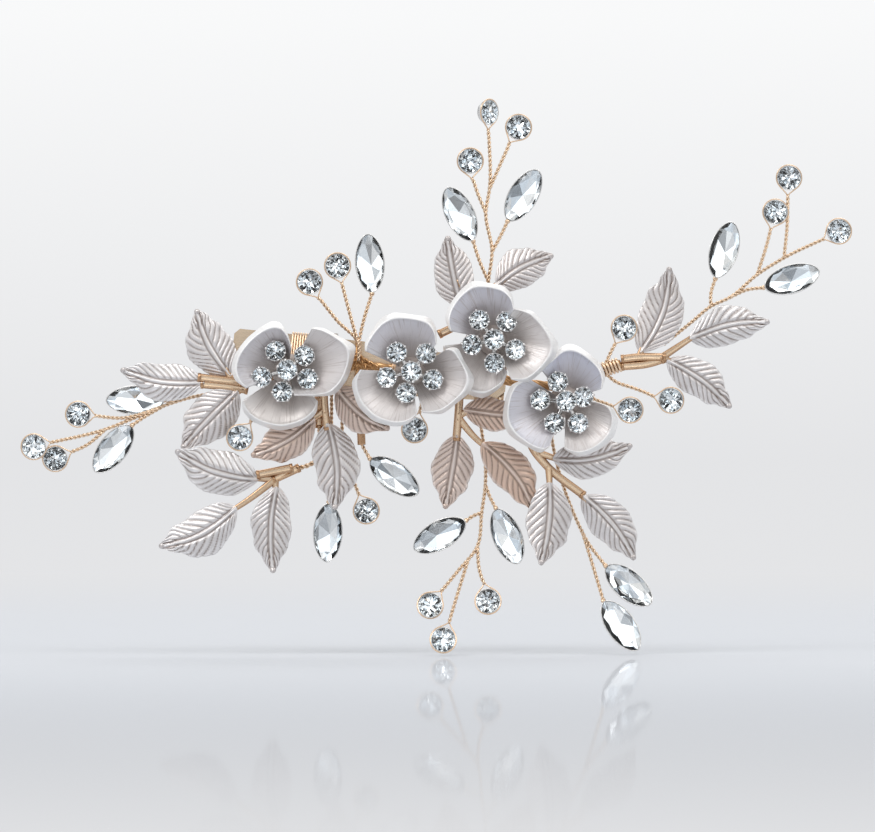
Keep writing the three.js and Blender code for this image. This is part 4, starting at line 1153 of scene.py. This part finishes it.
def make_cluster(number, flower):
    """Five claw-set stones round a raised middle one, on a pierced silver plate."""
    piece = Piece()
    y = FLOWER_BACK_Y - flower["forward"]
    cx, cz = flower["centre"]
    for dx, dz in flower["stones"]:
        at = (cx + dx, y + CLUSTER_BACK["ring"] + rng.uniform(-0.15, 0.15), cz + dz)
        outward = math.degrees(math.atan2(dx, 12))
        upward = -math.degrees(math.atan2(dz, 12))
        add_round_stone(piece, at, SMALL_RADIUS, rng.uniform(0, 45), outward * 0.6, upward * 0.6, CLAWS)
        spoke = [[cx, y - 2.0, cz], [cx + dx * 0.6, y - 2.2, cz + dz * 0.6], [cx + dx, y - 2.6, cz + dz]]
        add_tube(piece, smooth_path(spoke, 0.3), 0.5, "bezel", 8)
    add_round_stone(piece, (cx, y + CLUSTER_BACK["middle"], cz), SMALL_RADIUS, 10, 0, 0, CLAWS)
    post = np.array([[cx, y - 0.6, cz], [cx, y + CLUSTER_BACK["middle"] + 1.0, cz]])
    line = smooth_path(post, 0.4)
    add_tube(piece, line, 1.05, "bezel", 16, side=side_vectors(line, lean=(1, 0, 0)))
    piece.make(f"flower_{number}_cluster", f"flower_{number}_stones")


# ---------------------------------------------------------------- leaf sprigs

# stems and petioles are tubes, wires are twisted; leaves are (base, tip, width, bow, warmth)
SPRIGS = {
    "left": {
        "stems": [
            [[-29.2, SPRIG_Y, -3.7], [-32.4, SPRIG_Y, -3.1], [-38.4, SPRIG_Y, -2.5]],
            [[-30.4, SPRIG_Y - 0.3, -2.2], [-38.9, SPRIG_Y - 0.3, -1.2]],
        ],
        "petioles": [
            [[-31.8, SPRIG_Y, -2.9], [-33.6, -2.9, 0.6]],
            [[-30.4, SPRIG_Y, -3.2], [-32.4, -3.3, -5.2]],
        ],
        "leaves": [
            ([-32.6, -2.8, -1.0], [-39.2, -2.6, 11.7], 8.8, -1.0, 0.05),
            ([-37.6, SPRIG_Y, -2.2], [-53.7, -4.2, 0.2], 7.4, -1.1, 0.0),
            ([-31.2, -3.3, -3.8], [-41.9, -2.8, -14.8], 8.8, 0.2, 0.1),
        ],
    },
    "lower_left": {
        "stems": [
            [[-15.6, WIRE_Y, -4.6], [-15.6, WIRE_Y, -11.0]],
            [[-19.4, -2.1, -18.6], [-24.6, SPRIG_Y, -21.0]],
            [[-20.6, -3.6, -18.6], [-27.6, -4.2, -20.0]],
        ],
        "wires": [
            [[-15.6, WIRE_Y, -10.0], [-15.6, WIRE_Y, -16.0], [-16.4, -1.8, -17.3], [-20.4, -2.2, -19.0]],
        ],
        "petioles": [
            [[-24.0, SPRIG_Y, -20.8], [-28.6, SPRIG_Y, -20.6]],
            [[-24.0, SPRIG_Y, -20.8], [-29.2, -3.6, -24.8], [-33.2, -3.6, -27.4]],
            [[-24.0, SPRIG_Y, -20.8], [-23.9, -3.3, -23.6]],
        ],
        "leaves": [
            ([-27.2, -3.6, -20.9], [-43.1, -4.6, -15.4], 8.6, -1.3, 0.0),
            ([-31.4, -3.6, -26.2], [-46.2, -4.2, -33.8], 8.6, -1.5, 0.0),
            ([-23.7, SPRIG_Y, -22.2], [-24.4, -4.0, -38.6], 7.7, 0.8, 0.05),
        ],
    },
    "centre_left": {
        "stems": [[[-14.6, -3.4, -1.4], [-14.6, SPRIG_Y, -6.0], [-14.0, SPRIG_Y, -11.4]]],
        "petioles": [
            [[-14.6, SPRIG_Y, -7.6], [-18.2, -3.5, -10.4]],
            [[-14.4, -3.4, -2.4], [-11.0, -3.7, -4.2]],
        ],
        "leaves": [
            ([-16.4, -3.4, -9.0], [-28.4, -3.6, -16.3], 7.6, -1.0, 0.75),
            ([-13.8, SPRIG_Y, -10.0], [-12.5, -4.0, -26.5], 8.8, -1.0, 0.1),
            ([-12.2, -3.7, -3.4], [-2.2, -4.6, -11.2], 7.4, 1.0, 0.7),
        ],
    },
    "top": {
        "stems": [[[7.4, -3.6, 7.0], [10.4, -3.4, 8.6], [13.6, SPRIG_Y, 13.6]]],
        "petioles": [
            [[13.2, SPRIG_Y, 13.2], [11.2, -3.2, 17.6]],
            [[13.4, SPRIG_Y, 13.4], [20.2, -3.2, 17.6]],
        ],
        "leaves": [
            ([12.0, -3.2, 12.0], [9.1, -2.6, 25.8], 7.6, -0.4, 0.1),
            ([18.4, -3.2, 16.3], [29.3, -2.6, 22.3], 7.6, -0.8, 0.1),
        ],
    },
    "bottom_centre": {
        "stems": [[[11.6, -3.4, -2.0], [11.2, -3.6, -8.6], [10.8, SPRIG_Y, -13.4]]],
        "petioles": [
            [[11.2, -3.6, -8.6], [13.8, -3.7, -7.4]],
            [[11.2, -3.6, -9.0], [14.2, SPRIG_Y, -12.6], [17.6, SPRIG_Y, -15.6]],
        ],
        "leaves": [
            ([12.2, -3.7, -7.4], [24.2, -4.0, -8.6], 6.4, 0.3, 0.9),
            ([11.0, SPRIG_Y, -12.3], [8.7, -3.8, -26.3], 7.9, -0.2, 0.6),
            ([15.8, SPRIG_Y, -13.8], [25.8, -3.0, -26.7], 7.6, -1.2, 0.95),
        ],
    },
    "bottom_right": {
        "stems": [[[25.4, -3.4, -5.0], [25.4, -3.4, -14.6], [28.0, -3.4, -18.0], [35.4, SPRIG_Y, -24.0]]],
        "petioles": [
            [[26.2, -3.4, -15.6], [31.6, -3.7, -17.4]],
            [[28.6, -3.4, -18.4], [28.8, -4.4, -23.0]],
            [[35.0, SPRIG_Y, -23.7], [37.0, -3.4, -26.2]],
        ],
        "leaves": [
            ([28.8, -4.4, -21.4], [27.1, -5.4, -37.1], 8.6, -0.7, 0.1),
            ([35.2, -3.4, -24.0], [45.2, -3.8, -36.2], 7.8, -1.0, 0.05),
            ([29.4, -3.6, -17.0], [44.6, -4.0, -14.4], 7.4, 1.2, 0.05),
        ],
    },
    "right": {
        "stems": [
            [[42.6, -3.4, 2.3], [46.0, -3.4, 2.7], [51.4, -3.4, 2.7]],
            [[42.6, -3.0, 0.9], [48.1, -3.0, 1.5], [51.0, -3.2, 2.4]],
        ],
        "petioles": [
            [[46.2, -3.4, 2.6], [46.8, -3.2, 5.0]],
            [[50.6, -3.4, 2.7], [57.6, -3.0, 7.3]],
            [[50.8, -3.4, 2.7], [52.6, -3.2, 1.6]],
        ],
        "leaves": [
            ([46.4, -3.2, 3.6], [52.1, -2.8, 20.0], 8.4, 1.6, 0.1),
            ([56.0, -3.1, 6.3], [71.5, -2.6, 9.7], 7.6, -1.0, 0.0),
            ([51.6, -3.3, 2.2], [64.0, -3.0, -6.9], 7.2, -0.8, 0.05),
        ],
    },
}


def smooth_step(low, high, value):
    t = np.clip((value - low) / (high - low), 0, 1)
    return t * t * (3 - 2 * t)


def add_leaf(piece, base, tip, width, bow, warmth):
    """An embossed leaf: raised midrib, swelling lobes between slanting grooves, wavy margin."""
    rows, columns = LEAF_ROWS, LEAF_COLUMNS
    base, tip = np.array(base, float), np.array(tip, float)
    along = tip - base
    across = unit(np.cross([0, 1, 0], along))
    t = np.linspace(0, 1, rows)[:, None]
    s = np.linspace(-1, 1, columns)[None, :]
    half = np.maximum(width / 2 * np.sin(math.pi * t**0.85) ** 0.75, 0.25)
    tip_round = np.sqrt(np.clip(1 - ((t - 0.95) / 0.05) ** 2, 0.05, 1))
    half = np.maximum(half, 0.75 * smooth_step(0.86, 0.93, t) * tip_round)
    slant = 0.25 * (width / 8)
    lobes = LEAF_LOBES + rng.choice([-1, 0, 1])
    drift = [rng.uniform(0, 6.28) for _ in range(4)]
    wobble = 0.02 * np.sin(11 * t + 6 * rng.random())
    phase = lobes * (t - slant * np.abs(s) ** 1.15 + wobble) + 0.5 + 0.13 * np.sign(s)
    swing = np.abs(2 * (phase % 1) - 1)
    wave = 0.045 * np.sin(9 * t + drift[0] + 1.7 * np.sign(s))
    wave = wave + 0.03 * np.sin(17 * t + drift[1] * np.sign(s))
    nick = np.where(s > 0, rng.uniform(0.76, 0.86), rng.uniform(0.76, 0.86))
    wave = wave + 0.08 * np.exp(-(((t - nick + 0.08) / 0.06) ** 2))
    wave = wave - 0.16 * np.exp(-(((t - nick - 0.04) / 0.05) ** 2))
    margin = 1 + (0.03 * (0.6 - swing**2) + wave) * smooth_step(0.08, 0.2, t)
    spread = s * half * margin
    reach = np.abs(s) * half
    ends = smooth_step(0.0, 0.12, t) * smooth_step(0.0, 0.1, 1 - t)
    belt = smooth_step(0.1, 0.32, np.abs(s)) * (1 - 0.35 * smooth_step(0.75, 1, np.abs(s))) * ends
    lobe = 0.34 * (1 - swing**4) * belt
    rib = (0.36 - 0.15 * t) * np.exp(-((reach / 0.24) ** 2))
    ditch = 0.2 * np.exp(-(((reach - 0.5) / 0.2) ** 2)) * ends
    lip = 0.12 * np.exp(-(((np.abs(s) - 0.97) / 0.05) ** 2)) * ends
    height = lobe + rib - ditch + lip
    middle = base + along * t + across * (bow * np.sin(math.pi * t))
    grid = middle[:, None, :] + across * spread[..., None]
    fold = LEAF_FOLD * np.abs(s) ** 1.3 * (half / (width / 2)) - 0.5 * np.sin(math.pi * t) * (1 - s**2) * 0.5
    curl = 0.3 * np.sin(5 * t + drift[2]) * s + 0.22 * np.sin(8 * t + drift[3]) * s**2
    front = grid.copy()
    front[..., 1] += fold + curl - 0.6 - height + 0.15
    back = grid.copy()
    back[..., 1] += fold + curl - 0.6 - 0.8 * height + 0.15 + LEAF_THICKNESS
    # painted shade in the slanting grooves and the ditches beside the midrib
    groove = np.exp(-(((1 - swing) / 0.2) ** 2)) * belt
    groove = np.clip(groove + 0.9 * np.exp(-(((reach - 0.48) / 0.17) ** 2)) * ends, 0, 1)
    # painted highlight on the raised lip and the midrib
    painted_highlight = np.clip(0.55 * lip / 0.12 + 0.35 * np.exp(-((reach / 0.26) ** 2)), 0, 1)
    shade = np.stack([groove, painted_highlight * (1 - groove), np.full_like(groove, warmth)], axis=-1).reshape(-1, 3)
    place = np.stack(np.broadcast_arrays(s / 2 + 0.5, t), axis=-1).reshape(-1, 2)
    points = np.vstack([front.reshape(-1, 3), back.reshape(-1, 3)])
    faces = sheet_faces(rows, columns)
    piece.add(points, faces, "leaf", True, np.vstack([place, place]), np.vstack([shade, shade]))
    knob = tip - unit(along) * 0.35 + np.array([0, -0.5, 0])
    # the tip's knob is painted a little darker, in light painted shade
    add_bead(piece, knob, (0.58, 0.34, 0.58), "leaf", rings=7, sides=12, shade=[0.3, 0, warmth])


def trough(angles):
    """A tube's section with a furrow along its front."""
    return 1 - 0.42 * np.exp(-(((angles - math.pi) / 0.42) ** 2))


# painted shade along the furrow of a stem or petiole
def trough_shade(angles):
    return painted_shade_tone(np.exp(-(((angles - math.pi) / 0.5) ** 2)))


def make_sprig(place, sprig):
    piece = Piece()
    for path in sprig["stems"]:
        line = smooth_path(path, 0.3)
        add_tube(piece, line, TUBE_RADIUS, "tube", 20, profile=trough, shade=trough_shade)
        for mouth in (line[:3], line[-3:]):
            add_tube(piece, mouth, TUBE_RADIUS * TUBE_LIP, "tube", 18)
    for path in sprig.get("wires", []):
        line = smooth_path(path, WIRE_STEP)
        add_strands(piece, line, 2, SPRIG_WIRE_RADIUS, SPRIG_WIRE_RADIUS, SPRIG_WIRE_PITCH, "gold")
    for path in sprig["petioles"]:
        line = smooth_path(path, 0.3)
        radii = np.linspace(*PETIOLE_RADII, len(line))
        add_tube(piece, line, radii, "tube", 16, profile=trough, shade=trough_shade)
    for leaf in sprig["leaves"]:
        add_leaf(piece, *leaf)
    piece.make(f"{place}_embossed_leaves", f"{place}_leaf_sprig")


# ---------------------------------------------------------------- clip, stage, camera


def dress_clip():
    """The clip's CAD solids have their right shapes, so they keep them."""
    dressed = {
        "sheet": ("clip_top_plate", "clip_jaw"),
        "steel": ("clip_hinge_pin", "clip_spring_coil", "clip_spring_jaw_leg"),
    }
    for look, names in dressed.items():
        for name in names:
            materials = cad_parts[name].data.materials
            materials.clear()
            materials.append(LOOKS[look])


# the wall behind, from the table's height up; heights are directions seen from far away
BACKDROP_LOW = (0.775, 0.78, 0.795)
BACKDROP_HIGH = (0.945, 0.95, 0.955)
BACKDROP_SPAN = (-0.0062, 0.055)
FLOOR_NEAR = (0.585, 0.60, 0.63)
FLOOR_FRONT = (0.27, 0.285, 0.315)
FLOOR_FRONT_SPAN = (-0.05, -0.62)
FLOOR_RADIUS = 6.0
FLOOR_FADE = (0.10, 0.75)
FLOOR_GLOSS = 0.2
LIGHT_THROUGH_STONES = 1.75


def make_floor():
    """A glossy pale table that fades into the backdrop."""
    rings, sides = 24, 96
    radii = FLOOR_RADIUS * (np.arange(1, rings + 1) / rings) ** 2.5
    turns = np.linspace(0, 2 * np.pi, sides, endpoint=False)
    z = cad_low.z - 0.0004
    points = [[0, 0, z]]
    for r in radii:
        points += [[r * math.cos(a), r * math.sin(a), z] for a in turns]
    faces = [[0, 1 + k, 1 + (k + 1) % sides] for k in range(sides)]
    for i in range(rings - 1):
        for k in range(sides):
            a, b = 1 + i * sides + k, 1 + i * sides + (k + 1) % sides
            faces.append([a, a + sides, b + sides, b])
    mesh = bpy.data.meshes.new("table")
    mesh.from_pydata(points, [], faces)
    material = bpy.data.materials.new("table_gloss")
    material.use_nodes = True
    tree = material.node_tree
    tree.nodes.clear()
    position = node(tree, "ShaderNodeTexCoord").outputs["Object"]
    distance = node(tree, "ShaderNodeVectorMath", operation="LENGTH")
    link(tree, position, distance.inputs[0])
    fade = node(tree, "ShaderNodeMapRange", interpolation_type="SMOOTHSTEP")
    link(tree, distance.outputs["Value"], fade.inputs["Value"])
    set_sockets(fade, {"From Min": FLOOR_FADE[0], "From Max": FLOOR_FADE[1]})
    split = node(tree, "ShaderNodeSeparateXYZ")
    link(tree, position, split.inputs["Vector"])
    front = ramp(tree, split.outputs["Y"], *FLOOR_FRONT_SPAN, 0.0, 1.0)
    diffuse = node(tree, "ShaderNodeBsdfDiffuse")
    link(tree, blend(tree, front, FLOOR_NEAR, FLOOR_FRONT), diffuse.inputs["Color"])
    gloss = node(tree, "ShaderNodeBsdfGlossy")
    set_sockets(gloss, {"Roughness": 0.03, "Color": (0.9, 0.92, 0.95, 1)})
    near = mixed(tree, FLOOR_GLOSS, diffuse.outputs["BSDF"], gloss.outputs["BSDF"])
    far = node(tree, "ShaderNodeEmission")
    set_sockets(far, {"Color": (*BACKDROP_LOW, 1)})
    both = mixed(tree, fade.outputs["Result"], near, far.outputs["Emission"])
    out = node(tree, "ShaderNodeOutputMaterial")
    link(tree, both, out.inputs["Surface"])
    mesh.materials.append(material)
    floor = bpy.data.objects.new("table", mesh)
    bpy.context.scene.collection.objects.link(floor)


def make_world():
    """Bright all round, with darker bands that the crystals and the metal can mirror."""
    world = bpy.data.worlds.new("studio")
    bpy.context.scene.world = world
    world.use_nodes = True
    tree = world.node_tree
    tree.nodes.clear()
    direction = node(tree, "ShaderNodeTexCoord").outputs["Generated"]
    split = node(tree, "ShaderNodeSeparateXYZ")
    link(tree, direction, split.inputs["Vector"])
    facing = ramp(tree, split.outputs["Y"], -0.99, -0.95, 0.0, 1.0)
    height = ramp(tree, split.outputs["Z"], -0.2, 0.7, 0.0, 1.0)
    sides = blend(tree, height, (0.74, 0.76, 0.79), (1.12, 1.12, 1.11))
    gaps = ramp(tree, noise(tree, direction, 3.4, 1.0), 0.58, 0.63, 0.0, 1.0)
    broken = blend(tree, gaps, sides, (0.26, 0.27, 0.29))
    studio = blend(tree, facing, (0.42, 0.43, 0.45), broken)
    rise = ramp(tree, split.outputs["Z"], *BACKDROP_SPAN, 0.0, 1.0)
    backdrop = blend(tree, rise, BACKDROP_LOW, BACKDROP_HIGH)
    seen = node(tree, "ShaderNodeBackground")
    link(tree, backdrop, seen.inputs["Color"])
    rays = node(tree, "ShaderNodeLightPath")
    lit = node(tree, "ShaderNodeBackground")
    link(tree, studio, lit.inputs["Color"])
    strength = ramp(tree, rays.outputs["Is Transmission Ray"], 0, 1, 1.0, LIGHT_THROUGH_STONES)
    link(tree, strength, lit.inputs["Strength"])
    is_seen = rays.outputs["Is Camera Ray"]
    both = mixed(tree, is_seen, lit.outputs["Background"], seen.outputs["Background"])
    out = node(tree, "ShaderNodeOutputWorld")
    link(tree, both, out.inputs["Surface"])


def add_softbox(name, place, target, size, watts):
    data = bpy.data.lights.new(name, "AREA")
    data.shape = "RECTANGLE"
    data.size, data.size_y = size
    data.energy = watts
    lamp = bpy.data.objects.new(name, data)
    bpy.context.scene.collection.objects.link(lamp)
    lamp.location = place
    aim = [t - p for t, p in zip(target, place)]
    lamp.rotation_euler = Vector(aim).to_track_quat("-Z", "Y").to_euler()


LIGHT_AIM = (0.005, 0, 0)
CAMERA_LENS = 300
CAMERA_DISTANCE = 1.402
CAMERA_AIM = (0.0072, -0.003, -0.00865)


def make_camera():
    data = bpy.data.cameras.new("camera")
    data.lens = CAMERA_LENS
    data.sensor_width = 36
    data.clip_start, data.clip_end = 0.01, 50
    camera = bpy.data.objects.new("camera", data)
    bpy.context.scene.collection.objects.link(camera)
    camera.location = (CAMERA_AIM[0], CAMERA_AIM[1] - CAMERA_DISTANCE, CAMERA_AIM[2])
    camera.rotation_euler = (math.radians(90), 0, 0)
    bpy.context.scene.camera = camera


for place, group in SPRAYS.items():
    make_spray(place, group)
make_spine()
for group in list(SPRAYS.values()) + [SINGLE_STEMS]:
    for name in group["stones"]:
        make_round_stone(name)
    for name in group["navettes"]:
        make_navette(name)
for number, flower in enumerate(FLOWERS, 1):
    make_flower(number, flower)
    make_cluster(number, flower)
for place, sprig in SPRIGS.items():
    make_sprig(place, sprig)
dress_clip()

make_floor()
make_world()
add_softbox("key_softbox", (-0.55, -0.55, 0.75), LIGHT_AIM, (0.5, 0.4), 3.2)
add_softbox("fill_softbox", (0.62, -0.42, 0.72), LIGHT_AIM, (0.5, 0.5), 1.6)
add_softbox("back_softbox", (0.1, 0.7, 0.7), LIGHT_AIM, (0.8, 0.4), 1.6)
make_camera()
bpy.context.scene.view_settings.view_transform = "Standard"
